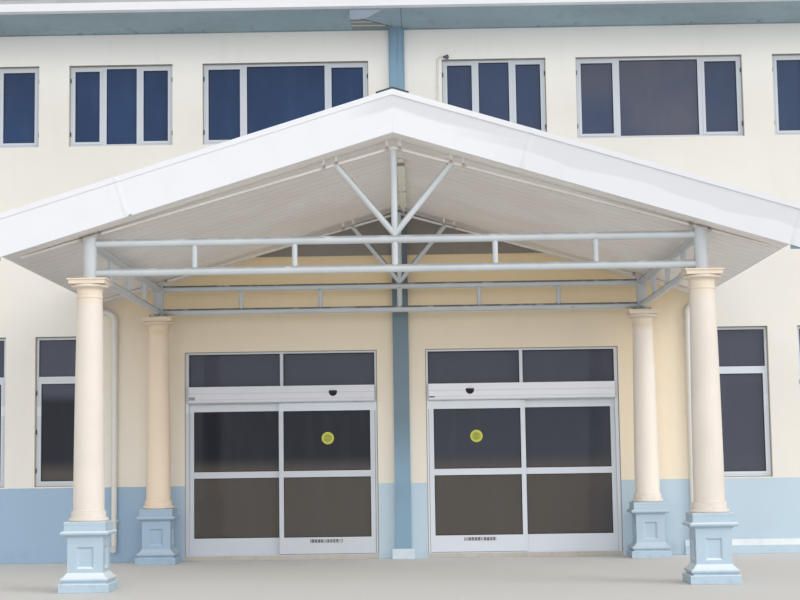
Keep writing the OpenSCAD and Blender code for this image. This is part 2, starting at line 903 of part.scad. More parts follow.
// Half section of the turned part: ring, band and shaft, neck ring, hollow bell
// and round moulding
module column_half() {
    shaft_foot = plinth_h + 128;
    bell_z = capital_top - abacus_h - echinus_h - bell_r;
    neck_z = bell_z - 55;
    steps = 8;
    apophyge = band_r - shaft_r;
    difference() {
        union() {
            polygon(concat(
                [[0, plinth_h], [torus_r - torus_h / 2, plinth_h],
                    [torus_r - torus_h / 2, plinth_h + torus_h],
                    [band_r, plinth_h + torus_h + 8], [band_r, shaft_foot]],
                [for (i = [0 : steps])
                    [shaft_radius(i / steps), shaft_foot + (neck_z - shaft_foot) * i / steps]],
                [[neck_r, bell_z], [neck_r + bell_r, bell_z], [neck_r + bell_r, capital_top - lap],
                    [0, capital_top - lap]]
            ));
            translate([torus_r - torus_h / 2, plinth_h + torus_h / 2]) circle(d = torus_h);
            translate([echinus_r - echinus_h / 2, capital_top - abacus_h - echinus_h / 2])
                circle(d = echinus_h);
            translate([neck_r - 12, neck_z]) circle(r = 20);
        }
        translate([shaft_r + apophyge, shaft_foot]) circle(r = apophyge);
        translate([neck_r + bell_r, bell_z]) circle(r = bell_r);
        translate([-far, -far]) square([far, 2 * far]);
    }
}

// Column: the turned part under a square slab whose mouldings are mitred
module column() {
    rotate_extrude($fn = 96) column_half();
    intersection() {
        along_y(-abacus_w, abacus_w) abacus_section();
        along_x(-abacus_w, abacus_w) abacus_section();
    }
}

module columns() { color(cream) at_columns() column(); }

// Everything above the underside of the rafters
module above_rafters() {
    foot = -rafter_h - seat;
    both_sides()
        along_y(-far, far)
            polygon([
                [-lap, rafter_top(0) + foot + lap], [0, rafter_top(0) + foot],
                [rafter_end + far, rafter_top(rafter_end + far) + foot],
                [rafter_end + far, far], [-lap, far]
            ]);
}

// Cleat over the rafter around x, reaching from its underside to the soffit
module cleat(x, y) {
    x0 = x - cleat_w / 2;
    x1 = x + cleat_w / 2;
    along_y(y - rafter_w / 2 - lap, y + rafter_w / 2 + lap)
        polygon([
            [x0, rafter_top(x0) - rafter_h], [x1, rafter_top(x1) - rafter_h],
            [x1, soffit_z(x1) - seat], [x0, soffit_z(x0) - seat]
        ]);
}

// Rafter on the right, in the plane y, with cleats beside the king post, the
// diagonal and the post
module rafter(y) {
    along_y(y - rafter_w / 2, y + rafter_w / 2)
        polygon([
            [0, rafter_top(0) - rafter_h], [rafter_end, rafter_top(rafter_end) - rafter_h],
            [rafter_end, rafter_top(rafter_end)], [0, rafter_top(0)]
        ]);
    for (x = [brace_d, diagonal_x - brace_d, diagonal_x + brace_d,
            column_x - post_d * 2 / 3, column_x + post_d * 2 / 3])
        cleat(x, y);
}

// Pair of posts, the rear ones on base plates
module post_pair(y, base_plate) {
    both_sides()
        difference() {
            union() {
                translate([column_x, -y, capital_top])
                    cylinder(d = post_d, h = soffit_top - capital_top);
                if (base_plate)
                    translate([column_x, -y, capital_top])
                        block([-base_plate_w / 2, -base_plate_w / 2, 0],
                            [base_plate_w / 2, base_plate_w / 2, base_plate_t]);
            }
            above_rafters();
        }
}

module posts() {
    color(steel_grey) {
        post_pair(front_y, false);
        post_pair(rear_y, true);
    }
}

// Two chords joined by short struts, cut to the posts
module chord_ladder(y) {
    difference() {
        union() {
            for (z = [bottom_chord_z, top_chord_z])
                bar([-column_x, -y, z], [column_x, -y, z], chord_d);
            for (i = [-2 : 2])
                bar([i * strut_pitch, -y, bottom_chord_z], [i * strut_pitch, -y, top_chord_z],
                    i == 0 ? brace_d : strut_d);
        }
        both_sides()
            translate([column_x, -y, 0])
                cylinder(d = post_d + 2 * seat, h = far);
    }
}

module chords() {
    color(steel_grey) {
        chord_ladder(front_y);
        chord_ladder(rear_y);
    }
}

// King post with its two diagonals, cut to the top chord and the rafters
module king_frame(y) {
    difference() {
        union() {
            bar([0, -y, top_chord_z], [0, -y, soffit_top], brace_d);
            both_sides()
                bar([0, -y, top_chord_z + 55], [diagonal_x + 60, -y, top_chord_z + 55
                    + (soffit_z(diagonal_x) - top_chord_z - 55) * (diagonal_x + 60) / diagonal_x],
                    brace_d);
        }
        above_rafters();
        bar([-column_x, -y, top_chord_z], [column_x, -y, top_chord_z], chord_d + 2 * seat);
    }
}

module king_frames() {
    color(steel_grey) {
        king_frame(front_y);
        king_frame(rear_y);
    }
}

module rafters() {
    for (y = [-front_y, -rear_y])
        rafter(y);
}

module left_rafters() { color(white_metal) mirror([1, 0, 0]) rafters(); }
module right_rafters() { color(white_metal) rafters(); }

// Ladder beam between the front and the rear post
module side_beam() {
    step = (front_y - rear_y) / (side_struts + 1);
    difference() {
        union() {
            for (z = [bottom_chord_z, top_chord_z])
                bar([column_x, -front_y, z], [column_x, -rear_y, z], chord_d);
            for (i = [1 : side_struts])
                bar([column_x, -front_y + i * step, bottom_chord_z],
                    [column_x, -front_y + i * step, top_chord_z], strut_d);
        }
        for (y = [-front_y, -rear_y]) {
            translate([column_x, y, 0])
                cylinder(d = post_d + 2 * seat, h = far);
            for (z = [bottom_chord_z, top_chord_z])
                bar([0, y, z], [column_x, y, z], chord_d + 2 * seat);
        }
    }
}

module side_beams() { color(steel_grey) both_sides() side_beam(); }

// Space that the pilaster takes
module pilaster_cut() {
    block([-pilaster_w / 2, -pilaster_d, 0], [pilaster_w / 2, lap, far]);
}

// Profile drawn in the Y-Z plane and carried down the right slope, from the
// centre line at height z0 to x1
module down_slope(z0, x1) {
    difference() {
        intersection() {
            translate([0, 0, z0])
                rotate([0, slope_angle, 0])
                    along_x(-roof_t, x1 / cos(slope_angle) + roof_t)
                        children();
            block([0, -far, 0], [x1, far, far]);
        }
        pilaster_cut();
    }
}

// Heights upright are this much more than across the slope
upright = cos(slope_angle);
// Places of the ribs of the roof and of the grooves of the soffit
rib_y = [for (y = [rib_pitch / 2 - canopy_d : rib_pitch : -rib_w]) y];
roof_under = soffit_top + fascia_h - roof_rib_h - roof_t;
roof_drip = 50;

module soffit() {
    down_slope(soffit_top, canopy_half)
        difference() {
            translate([-canopy_d, 0])
                square([canopy_d, soffit_t * upright]);
            for (y = rib_y)
                translate([y, -lap])
                    square([groove_w, groove_d + lap]);
        }
}

module canopy_roof() {
    rib_top = (roof_t + roof_rib_h) * upright;
    down_slope(roof_under, canopy_half + fascia_t + roof_drip) {
        translate([-canopy_d, 0])
            square([canopy_d, roof_t * upright]);
        for (y = rib_y)
            polygon([
                [y, 0], [y + rib_w, 0], [y + rib_w, roof_t * upright],
                [y + rib_w * 3 / 4, rib_top], [y + rib_w / 4, rib_top], [y, roof_t * upright]
            ]);
    }
}

module left_soffit() { color(soffit_grey) mirror([1, 0, 0]) soffit(); }
module right_soffit() { color(soffit_grey) soffit(); }
module left_canopy_roof() { color(white_metal) mirror([1, 0, 0]) canopy_roof(); }
module right_canopy_roof() { color(white_metal) canopy_roof(); }

// Capping that lies on the ribs and on the front fascia
module ridge_cap() {
    z0 = soffit_top + fascia_h + seat;
    color("#4a4f55")
        difference() {
            along_y(-canopy_d - fascia_t - fascia_cap_d, 0)
                polygon([
                    [-ridge_wing, z0 - fall * ridge_wing], [0, z0],
                    [ridge_wing, z0 - fall * ridge_wing],
                    [ridge_wing, z0 - fall * ridge_wing + ridge_cap_t], [0, z0 + ridge_cap_t],
                    [-ridge_wing, z0 - fall * ridge_wing + ridge_cap_t]
                ]);
            pilaster_cut();
        }
}

// Upright strip of the front fascia between the heights low and high over the
// slope line of the soffit, from depth y0 to y1
module fascia_strip(low, high, y0, y1) {
    x1 = eave_out + fascia_over;
    along_y(y0, y1)
        polygon([
            [0, soffit_top + low], [x1, soffit_z(x1) + low],
            [x1, soffit_z(x1) + high], [0, soffit_top + high]
        ]);
}

// Front fascia of the right slope with its capping
module fascia() {
    y = -canopy_d - fascia_t;
    color(white_metal) {
        fascia_strip(-fascia_drop, fascia_h, y, -canopy_d);
        fascia_strip(fascia_h - fascia_cap_h, fascia_h, y - fascia_cap_d, y);
    }
}

module left_fascia() { mirror([1, 0, 0]) fascia(); }
module right_fascia() { fascia(); }

// Board that closes the canopy along its eave
module eave_board() {
    x0 = canopy_half;
    x1 = canopy_half + fascia_t;
    color(white_metal)
        along_y(-canopy_d, 0)
            polygon([
                [x0, soffit_z(x0)], [x1, soffit_z(x0)],
                [x1, roof_under - fall * x1], [x0, roof_under - fall * x0]
            ]);
}

module eave_boards() { both_sides() eave_board(); }

gutter_z = soffit_z(canopy_half) + gutter_up;

// Gutter along the eave, closed in front by a plate that hangs below it
module canopy_gutter() {
    x0 = canopy_half + fascia_t;
    z0 = gutter_z;
    color(pilaster_blue) {
        along_y(-canopy_d, 0)
            difference() {
                translate([x0, z0]) square([gutter_w, gutter_h]);
                translate([x0 + gutter_t, z0 + gutter_t])
                    square([gutter_w - 2 * gutter_t, gutter_h]);
            }
        block([x0, -canopy_d, z0 - gutter_plate],
            [x0 + gutter_w, -canopy_d + gutter_t, z0 + gutter_h - lap]);
    }
}

module canopy_gutters() { both_sides() canopy_gutter(); }

// Dark panel in the top of the rear gable, one half on each side of the pilaster
module gable_panel() {
    x1 = (soffit_top - seat - gable_panel_z) / fall - rib_w;
    x0 = pilaster_w / 2;
    color("#5f5a54")
        both_sides()
            along_y(-gable_panel_t, 0)
                polygon([
                    [x0, gable_panel_z], [x1, gable_panel_z],
                    [x1, soffit_z(x1) - seat], [x0, soffit_z(x0) - seat]
                ]);
}

// Light fitting from depth y0 to y1: a narrow back under a wider rounded lens
module light_fitting(y0, y1) {
    back_half = light_w / 3;
    z = soffit_z(light_x + back_half);
    lens_r = light_w / 4;
    along_y(y0, y1)
        translate([light_x, 0]) {
            translate([-back_half, z - light_h / 2])
                square([2 * back_half, light_h / 2 - seat]);
            translate([-light_w / 2, z - light_h + lens_r])
                square([light_w, light_h / 2 - lens_r + lap]);
            translate([lens_r - light_w / 2, z - light_h])
                square([light_w - 2 * lens_r, lens_r + lap]);
            for (x = [lens_r - light_w / 2, light_w / 2 - lens_r])
                translate([x, z - light_h + lens_r])
                    circle(r = lens_r);
        }
}

// Two fittings end to end beside the ridge
module ridge_light() {
    joint_y = -light_back - light_rear_l;
    color("white") {
        light_fitting(joint_y, -light_back);
        light_fitting(joint_y - light_gap - light_front_l, joint_y - light_gap);
    }
}

// Bend of the pipe with a socket at each end: starts downwards at the origin
// and turns towards +X through the angle given
module bend(angle) {
    translate([bend_r, 0, 0])
        rotate([90, 0, 0])
            rotate([0, 0, 180])
                rotate_extrude(angle = angle)
                    translate([bend_r, 0]) circle(d = pipe_d);
    translate([0, 0, -socket_l / 2])
        cylinder(d = pipe_d + 2 * socket_t, h = socket_l);
    translate([bend_r * (1 - cos(angle)), 0, -bend_r * sin(angle)])
        rotate([0, -angle, 0])
            translate([0, 0, -socket_l / 2])
                cylinder(d = pipe_d + 2 * socket_t, h = socket_l);
}

// Downpipe from the gutter outlet to a shoe above the ledge: a swan neck of
// two equal bends joined by a slanting piece, the straight pipe and its clips
module downpipe() {
    y = -pipe_d / 2 - pipe_off;
    outlet_x = canopy_half + fascia_t + gutter_w / 2;
    pipe_x = outlet_x - swan_reach;
    straight = (swan_reach - 2 * bend_r * (1 - cos(swan_angle))) / sin(swan_angle);
    neck_h = 2 * bend_r * sin(swan_angle) + straight * cos(swan_angle);
    neck_top = gutter_z - socket_l;
    shoe_z = ledge_h + bend_r * 3 / 4;
    clip_w = 24;
    clip_h = 30;
    translate([outlet_x, y, neck_top])
        cylinder(d = pipe_d, h = socket_l);
    translate([outlet_x, y, neck_top])
        mirror([1, 0, 0]) {
            bend(swan_angle);
            translate([bend_r * (1 - cos(swan_angle)), 0, -bend_r * sin(swan_angle)])
                rotate([0, 180 - swan_angle, 0])
                    cylinder(d = pipe_d, h = straight);
        }
    translate([pipe_x, y, neck_top - neck_h])
        rotate([180, 0, 0])
            bend(swan_angle);
    translate([pipe_x, y, shoe_z])
        cylinder(d = pipe_d, h = neck_top - neck_h - shoe_z);
    translate([pipe_x, y, shoe_z])
        rotate([0, 0, -90])
            bend(60);
    for (z = [shoe_z + 2 * bend_r, (shoe_z + neck_top) / 2, neck_top - neck_h - 2 * bend_r])
        block([pipe_x - clip_w / 2, y, z], [pipe_x + clip_w / 2, 0, z + clip_h]);
}

module downpipes() { color(white_metal) both_sides() downpipe(); }

ground_wall_left();
ground_wall_centre();
ground_wall_right();
door_lintel();
door_sills();
upper_wall_band();
upper_wall_piers();
upper_wall_head();
pilaster();
base_ledges();
eave_soffit();
eave_gutter();
eave_roof();
upper_window_frames();
upper_window_glass();
ground_window_frames();
ground_window_glass();
left_door_frame();
right_door_frame();
fixed_leaves();
fixed_glass();
operator_covers();
door_sensors();
left_sliding_leaf();
left_sliding_glass();
right_sliding_leaf();
right_sliding_glass();
plinths();
columns();
posts();
chords();
king_frames();
side_beams();
left_rafters();
right_rafters();
left_soffit();
right_soffit();
left_canopy_roof();
right_canopy_roof();
ridge_cap();
left_fascia();
right_fascia();
eave_boards();
canopy_gutters();
gable_panel();
ridge_light();
downpipes();
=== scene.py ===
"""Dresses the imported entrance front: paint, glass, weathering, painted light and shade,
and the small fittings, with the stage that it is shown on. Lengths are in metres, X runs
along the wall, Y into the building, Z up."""

import json
import math

import bmesh
import bpy
import numpy as np
from mathutils import Matrix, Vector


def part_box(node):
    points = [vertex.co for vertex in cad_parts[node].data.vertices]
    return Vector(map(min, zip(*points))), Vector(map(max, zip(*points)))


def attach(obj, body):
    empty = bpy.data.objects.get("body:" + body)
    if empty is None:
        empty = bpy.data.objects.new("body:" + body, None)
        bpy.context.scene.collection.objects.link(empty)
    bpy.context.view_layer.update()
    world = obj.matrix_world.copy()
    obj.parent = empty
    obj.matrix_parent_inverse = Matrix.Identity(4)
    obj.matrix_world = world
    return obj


bl_info = {
    "name": "Entrance front",
    "version": (1, 0, 0),
    "blender": (4, 5, 0),
    "location": "View3D > Sidebar > Entrance",
    "description": "Finishes and small fittings of a gabled entrance front with sliding doors",
    "category": "Add Mesh",
}

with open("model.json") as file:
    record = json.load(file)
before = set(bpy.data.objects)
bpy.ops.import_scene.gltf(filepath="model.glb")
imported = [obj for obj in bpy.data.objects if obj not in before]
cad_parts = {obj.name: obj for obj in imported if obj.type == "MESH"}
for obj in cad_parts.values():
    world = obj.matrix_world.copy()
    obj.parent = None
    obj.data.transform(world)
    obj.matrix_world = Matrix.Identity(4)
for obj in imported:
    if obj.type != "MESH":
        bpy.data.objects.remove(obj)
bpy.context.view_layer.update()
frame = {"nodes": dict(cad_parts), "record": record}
SLOTS = {part["node"]: part["material_slot"] for part in frame["record"]["subparts"]}


def solids(node):
    """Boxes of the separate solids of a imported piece, in order of their low corners. Corners
    that share a place share a label, and each triangle spreads its lowest label till none changes."""
    mesh = frame["nodes"][node].data
    points = np.empty(len(mesh.vertices) * 3)
    mesh.vertices.foreach_get("co", points)
    points = points.reshape(-1, 3)
    corners = np.empty(len(mesh.loops), dtype=np.int32)
    mesh.loops.foreach_get("vertex_index", corners)
    _, place = np.unique(np.round(points, 4), axis=0, return_inverse=True)
    place = place.ravel()
    triangles = place[corners].reshape(-1, 3)
    label = np.arange(place.max() + 1)
    settled = False
    while not settled:
        spread = label.copy()
        for corner in range(3):
            np.minimum.at(spread, triangles[:, corner], label[triangles].min(axis=1))
        spread = spread[spread]
        settled = (spread == label).all()
        label = spread
    owner = label[place]
    boxes = [(points[owner == k].min(axis=0), points[owner == k].max(axis=0)) for k in np.unique(owner)]
    return sorted(boxes, key=lambda pair: tuple(np.round(pair[0], 3)))


# The canopy: its slope, the height of its soffit on the ridge, its fascia and its eaves
FALL = 0.305
SLOPE = math.atan(FALL)
SOFFIT_LOW, SOFFIT_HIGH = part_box("right_soffit")
SOFFIT_TOP = SOFFIT_LOW[2] + FALL * SOFFIT_HIGH[0]
FASCIA_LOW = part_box("right_fascia")[0]
FASCIA_TOP = 0.47
FASCIA_CAP = 0.062
FASCIA_FACE = FASCIA_LOW[1] + 0.014
# The steelwork: planes of the trusses, tubes and slim rafters
CHORDS = solids("chords")
CHORD_R = 0.0445
CHORD_Z = (CHORDS[0][0][2] + CHORD_R, CHORDS[0][1][2] - CHORD_R)
TRUSS_Y = (-5.1, -0.45)
POST_X = 3.34
POST_R = 0.075
STRUT_R = 0.03
BRACE_R = 0.035
STRUT_PITCH = 1.097
SIDE_STRUTS = 3
RAFTER_GAP = 0.098
RAFTER_FALL = 0.2816
RAFTER_H = 0.026
CLEATS = (0.07, 0.63, 0.77, 3.24, 3.44)
# Top edge of the blue dado on the wall, and depth of the window frames
DADO_TOP = 1.038
WINDOW_DEPTH = 0.06
# Roof ribs: the first one's middle and the spacing
RIB_PITCH = 0.25
RIB_FIRST = -5.28


def tone(red, green, blue):
    """Linear colour from the 0 to 255 values that a screen shows."""
    def linear(c):
        """One channel, by the curve of sRGB."""
        c /= 255
        return c / 12.92 if c <= 0.04045 else ((c + 0.055) / 1.055) ** 2.4
    return linear(red), linear(green), linear(blue)


def shaded(rgb, factor):
    """The colour made darker or lighter by a factor."""
    return tuple(min(1.0, c * factor) for c in rgb)


def colour(name, description, rgb):
    """Colour setting of the add-on."""
    return bpy.props.FloatVectorProperty(
        name=name, description=description, subtype="COLOR", size=3, min=0, max=1, default=tone(*rgb))


def length(name, description, default):
    """Length setting of the add-on, in metres."""
    return bpy.props.FloatProperty(
        name=name, description=description, subtype="DISTANCE", unit="LENGTH", min=0, default=default)


def angle(name, description, default):
    """Angle setting of the add-on, in degrees for the reader and radians inside."""
    return bpy.props.FloatProperty(
        name=name, description=description, subtype="ANGLE", unit="ROTATION", default=math.radians(default))


def number(name, description, default):
    """Plain number setting of the add-on."""
    return bpy.props.FloatProperty(name=name, description=description, default=default)


class EntranceColours(bpy.types.PropertyGroup):
    """Colours of the finishes"""

    wall: colour("Wall", "Cream paint on the rendered wall", (234, 230, 222))
    # Painted light: the yellower colour that bounced light gives the wall in the porch.
    porch_bounce_light: colour("Sheltered wall", "The same paint where the porch has kept it yellower", (241, 226, 200))
    dado: colour("Dado", "Pale blue paint at the foot of the wall", (192, 211, 224))
    # Painted shade: the darker dado left of the porch, where less light falls.
    dado_shade_left: colour("Left dado", "The deeper blue left of the porch", (161, 186, 209))
    inside: colour("Inner face", "Plain plaster on the inner face of the wall", (214, 209, 198))
    column: colour("Columns", "Cream paint on the columns", (233, 224, 214))
    plinth: colour("Plinths", "Pale blue paint on the plinths and ledges", (184, 204, 219))
    pilaster: colour("Pilaster", "Blue paint on the pilaster", (136, 167, 189))
    steel: colour("Steelwork", "Pale grey paint on the tubes", (200, 206, 210))
    rafter: colour("Rafters", "Pale paint on the slim rafters", (232, 228, 222))
    rust: colour("Rust", "Rust at welds and cleats", (122, 90, 72))
    sheet: colour("Fascia", "White coating on the folded sheets", (226, 228, 233))
    soffit: colour("Canopy soffit", "Coating under the canopy", (255, 247, 243))
    eave: colour("Eave boards", "Blue-grey paint under the eave", (148, 170, 180))
    roof: colour("Roof", "Coated roof sheets", (164, 170, 174))
    cap: colour("Ridge capping", "Dark folded capping", (74, 78, 84))
    gutter: colour("Canopy gutters", "Blue paint on the gutters", (128, 152, 170))
    aluminium: colour("Frames", "Powder coat on doors and windows", (205, 211, 219))
    cover: colour("Operator covers", "Anodised covers over the doors", (223, 225, 233))
    glass_low: colour("Door glass", "Dark tinted glass of the doors", (32, 37, 48))
    # Painted reflection: the brownish road that the lower door panes mirror.
    glass_road_reflection: colour("Lower door glass", "Brownish cast on the lower panes", (84, 79, 75))
    glass_over: colour("Transom glass", "Glass of the lights over the doors", (77, 81, 95))
    glass_high: colour("Upper glass", "Blue tinted glass upstairs", (38, 63, 101))
    sensor: colour("Sensors", "Black plastic of the sensors", (16, 17, 18))
    panel: colour("Gable panel", "Dark board in the gable", (150, 144, 137))
    lens: colour("Light fitting", "Yellowed lens of the fittings", (250, 248, 232))
    pipe: colour("Downpipes", "White plastic of the pipes", (226, 224, 218))
    concrete: colour("Concrete", "Bare concrete of the sills", (190, 186, 178))
    disc: colour("Safety disc", "Yellow-green disc on the glass", (200, 205, 80))
    rubber: colour("Gaskets", "Black rubber of gaskets and brushes", (24, 25, 27))
    # Painted shade as well as dirt: the mastic is dark so as to draw the shadow line round the frames.
    mastic: colour("Joints", "Dirty mastic round frames", (158, 150, 137))


class EntranceSizes(bpy.types.PropertyGroup):
    """Sizes of the small fittings"""

    gasket: length("Gasket", "Width of the glazing gaskets", 0.009)
    joint: length("Joint", "Width of the mastic joint round a frame", 0.011)
    hinge: length("Hinge", "Height of the window hinges", 0.07)
    disc: length("Safety disc", "Diameter of the discs on the glass", 0.172)
    disc_side: length("Disc place", "Distance of the discs from the centre line", 1.042)
    disc_height: length("Disc height", "Height of the middle of the discs", 1.678)
    label_height: length("Label height", "Height of the strips on the bottom rails", 0.252)
    weld: length("Weld bead", "Radius of the weld beads", 0.006)
    bolt: length("Bolt", "Radius of the bolt heads", 0.013)
    screw: length("Roof screw", "Radius of the washers of the roof screws", 0.009)
    lap: length("Lap", "Width of the laps between sheets", 0.06)
    conduit: length("Conduit", "Radius of the conduit on the wall", 0.014)


class EntranceStage(bpy.types.PropertyGroup):
    """Camera, lamps and floor"""

    camera_place: bpy.props.FloatVectorProperty(
        name="Camera place", description="Where the camera stands", subtype="TRANSLATION",
        unit="LENGTH", size=3, default=(0.2168, -22.4585, 1.3212))
    camera_pitch: angle("Pitch", "How far the camera looks up", 5.804)
    camera_yaw: angle("Yaw", "How far the camera turns to the right", -0.556)
    camera_roll: angle("Roll", "Turn of the camera about its axis", -0.837)
    focal_length: number("Focal length", "Lens in millimetres on a 36 mm sensor", 72.0)
    key_strength: number("Key light", "Strength of the key lamp", 1.15)
    key_height: angle("Key height", "How high the key lamp stands", 26)
    key_side: angle("Key side", "How far to the right the key lamp stands", 58)
    fill_strength: number("Fill light", "Strength of the broad lamp in front", 1.4)
    fill_height: angle("Fill height", "How high the broad lamp stands", 8)
    sky_strength: number("Sky light", "Strength of the even light from all around", 0.7)
    floor_colour: colour("Floor", "Pale floor", (232, 231, 228))


class Num:
    """A number in a shader: arithmetic on it adds Math nodes."""

    def __init__(self, nodes, socket):
        self.nodes = nodes
        self.socket = socket

    def _math(self, operation, *values):
        made = self.nodes.node("ShaderNodeMath", {"operation": operation}, dict(enumerate(values)))
        return Num(self.nodes, made.outputs[0])

    def __add__(self, other):
        return self._math("ADD", self, other)

    def __sub__(self, other):
        return self._math("SUBTRACT", self, other)

    def __mul__(self, other):
        return self._math("MULTIPLY", self, other)

    def __rsub__(self, other):
        return self._math("SUBTRACT", other, self)

    def __pow__(self, other):
        return self._math("POWER", self, other)

    def __abs__(self):
        return self._math("ABSOLUTE", self)

    __radd__ = __add__

    def least(self, other):
        """The smaller of the two."""
        return self._math("MINIMUM", self, other)

    def most(self, other):
        """The larger of the two."""
        return self._math("MAXIMUM", self, other)

    def fold(self, half):
        """Distance to the nearest whole multiple of twice that length."""
        return self._math("PINGPONG", self, half)

    def ramp(self, start, end):
        """0 at start and 1 at end, with a smooth step between them."""
        made = self.nodes.node("ShaderNodeMapRange", {"interpolation_type": "SMOOTHSTEP"},
                               {"Value": self, "From Min": min(start, end), "From Max": max(start, end)})
        result = Num(self.nodes, made.outputs["Result"])
        return result if start < end else 1 - result

    def near(self, place, reach):
        """1 at a place, falling smoothly to 0 at that distance from it."""
        return abs(self - place).ramp(reach, 0)


class Nodes:
    """The nodes of a material or of the world, all made by one method."""

    def __init__(self, tree):
        self.tree = tree
        tree.nodes.clear()

    def put(self, socket, value):
        """Links a socket or a number of the shader, or sets a plain value."""
        if isinstance(value, Num):
            value = value.socket
        if isinstance(value, bpy.types.NodeSocket):
            self.tree.links.new(value, socket)
        elif socket.type == "RGBA" and len(value) == 3:
            socket.default_value = (*value, 1)
        else:
            socket.default_value = value

    def node(self, kind, settings=None, sockets=None):
        """Node of a type, with its settings and then the values or links of its sockets."""
        made = self.tree.nodes.new(kind)
        for key, value in (settings or {}).items():
            setattr(made, key, value)
        for key, value in (sockets or {}).items():
            self.put(made.inputs[key], value)
        return made


class Finish(Nodes):
    """A procedural material on object coordinates: its own plain colour, and the base colour
    as laid up so far. The number up is 1 on faces that look up and -1 on faces that look down."""

    def __init__(self, name, rgb):
        self.material = bpy.data.materials.new(name)
        self.material.use_nodes = True
        super().__init__(self.material.node_tree)
        self.rgb = self.base = rgb
        self.shader = self.node("ShaderNodeBsdfPrincipled")
        self.node("ShaderNodeOutputMaterial", {}, {0: self.shader.outputs[0]})
        place = self.node("ShaderNodeTexCoord")
        self.place = place.outputs["Object"]
        self.x, self.y, self.z = self.parts(self.place)
        self.up = self.parts(place.outputs["Normal"])[2]

    def parts(self, vector):
        """The three numbers of a vector."""
        made = self.node("ShaderNodeSeparateXYZ", {}, {0: vector})
        return [Num(self, made.outputs[i]) for i in range(3)]

    def noise(self, scale, stretch=(1, 1, 1), detail=3):
        """Even noise from 0 to 1 with so many waves a metre, stretched along the axes."""
        vector = self.node("ShaderNodeVectorMath", {"operation": "MULTIPLY"},
                           {0: self.place, 1: stretch}).outputs[0]
        made = self.node("ShaderNodeTexNoise", {}, {"Vector": vector, "Scale": scale, "Detail": detail})
        return Num(self, made.outputs[0])

    def patches(self, scale, low, high, stretch=(1, 1, 1), detail=5):
        """Patches of noise: 0 where it is under low, 1 where it is over high."""
        return self.noise(scale, stretch, detail).ramp(low, high)

    def under(self, start):
        """1 on faces that look down, from 0 on those that lean down by less than start."""
        return (0 - self.up).ramp(start, 0.9)

    def mix(self, factor, low, high):
        """Colour between low and high."""
        return self.node("ShaderNodeMix", {"data_type": "RGBA"}, {0: factor, 6: low, 7: high}).outputs[2]

    def blotched(self, noise, dark, light):
        """Starts the base colour afresh with soft blotches between two shades of its own."""
        self.base = self.mix(noise.ramp(0.3, 0.7), shaded(self.rgb, dark), shaded(self.rgb, light))

    def over(self, factor, rgb, shade=1):
        """Lays a shade of another colour over the base colour, by that factor."""
        self.base = self.mix(factor, self.base, shaded(rgb, shade))

    def tint(self, factor, shade):
        """Lays a shade of its own colour over the base colour, by that factor."""
        self.over(factor, self.rgb, shade)

    def bump(self, height, distance, strength):
        """Normal from a height, whose full range is so many metres."""
        return self.node("ShaderNodeBump", {}, {"Height": height, "Distance": distance,
                                                "Strength": strength}).outputs[0]

    def done(self, roughness, normal=None, **others):
        """Feeds the shader and returns the material."""
        others.update({"Base Color": self.base, "Roughness": roughness})
        if normal:
            others["Normal"] = normal
        for key, value in others.items():
            self.put(self.shader.inputs[key], value)
        return self.material


def render_paint(f, c):
    """Cream paint on render with the blue dado, thin rain marks and dirt at the foot. Painted light
    is laid on too: yellower bounce light in the porch, a whiter wall under the eave, a darker dado
    left of the porch and shade on faces that look down.
    """
    broad = f.noise(0.55, detail=4)
    patch = f.patches(2.3, 0.5, 0.8)
    grain = f.noise(70, detail=2)
    porch = abs(f.x).ramp(4.6, 3.6) * (f.z + abs(f.x) * FALL).ramp(SOFFIT_TOP + 0.05, SOFFIT_TOP - 0.1)
    f.blotched(broad, 0.965, 1.02)
    # Painted light: the wall turns whiter towards the eave, where the eave's shade falls.
    f.over(f.z.ramp(6.2, 7.3) * 0.9, tone(255, 253, 248))
    # Painted light: yellow bounce light in the porch, stronger higher up, paler towards the right and more
    # orange close under the soffit.
    f.over(porch * (f.z.ramp(1.2, 4.0) * 0.75 + 0.25), c.porch_bounce_light)
    f.over(porch * f.x.ramp(2.4, 3.4) * 0.8, c.porch_bounce_light, 1.13)
    f.over(porch * f.z.ramp(3.2, 3.9) * 0.6, tone(255, 228, 178))
    f.tint(patch * 0.08, 0.8)
    f.tint(f.patches(1, 0.5, 0.8, (5, 5, 0.5)) * 0.07, 0.72)
    cream = f.base
    f.rgb = c.dado
    f.blotched(broad, 0.95, 1.05)
    # Painted shade: the dado is darker left of the porch, where less light falls.
    f.over(f.x.ramp(-2.7, -3.5), c.dado_shade_left)
    f.tint(patch * 0.14, 0.8)
    edge = DADO_TOP + (f.noise(9) - 0.5) * 0.012
    f.base = f.mix((f.z - edge).ramp(-0.002, 0.002), f.base, cream)
    foot = f.z.ramp(0.3, 0.0) * f.patches(5, 0.4, 0.8)
    f.tint(foot * 0.3, 0.5)
    # Painted shade, with some dirt: faces that look down, such as the heads of the reveals, take a dark
    # mastic colour.
    f.over(f.under(0.5) * 0.75, c.mastic, 0.6)
    f.over(f.y.ramp(0.216, 0.218), c.inside)
    return f.done(0.75 + grain * 0.15, f.bump(grain * 0.6 + f.noise(14) * 0.4, 0.003, 0.45))


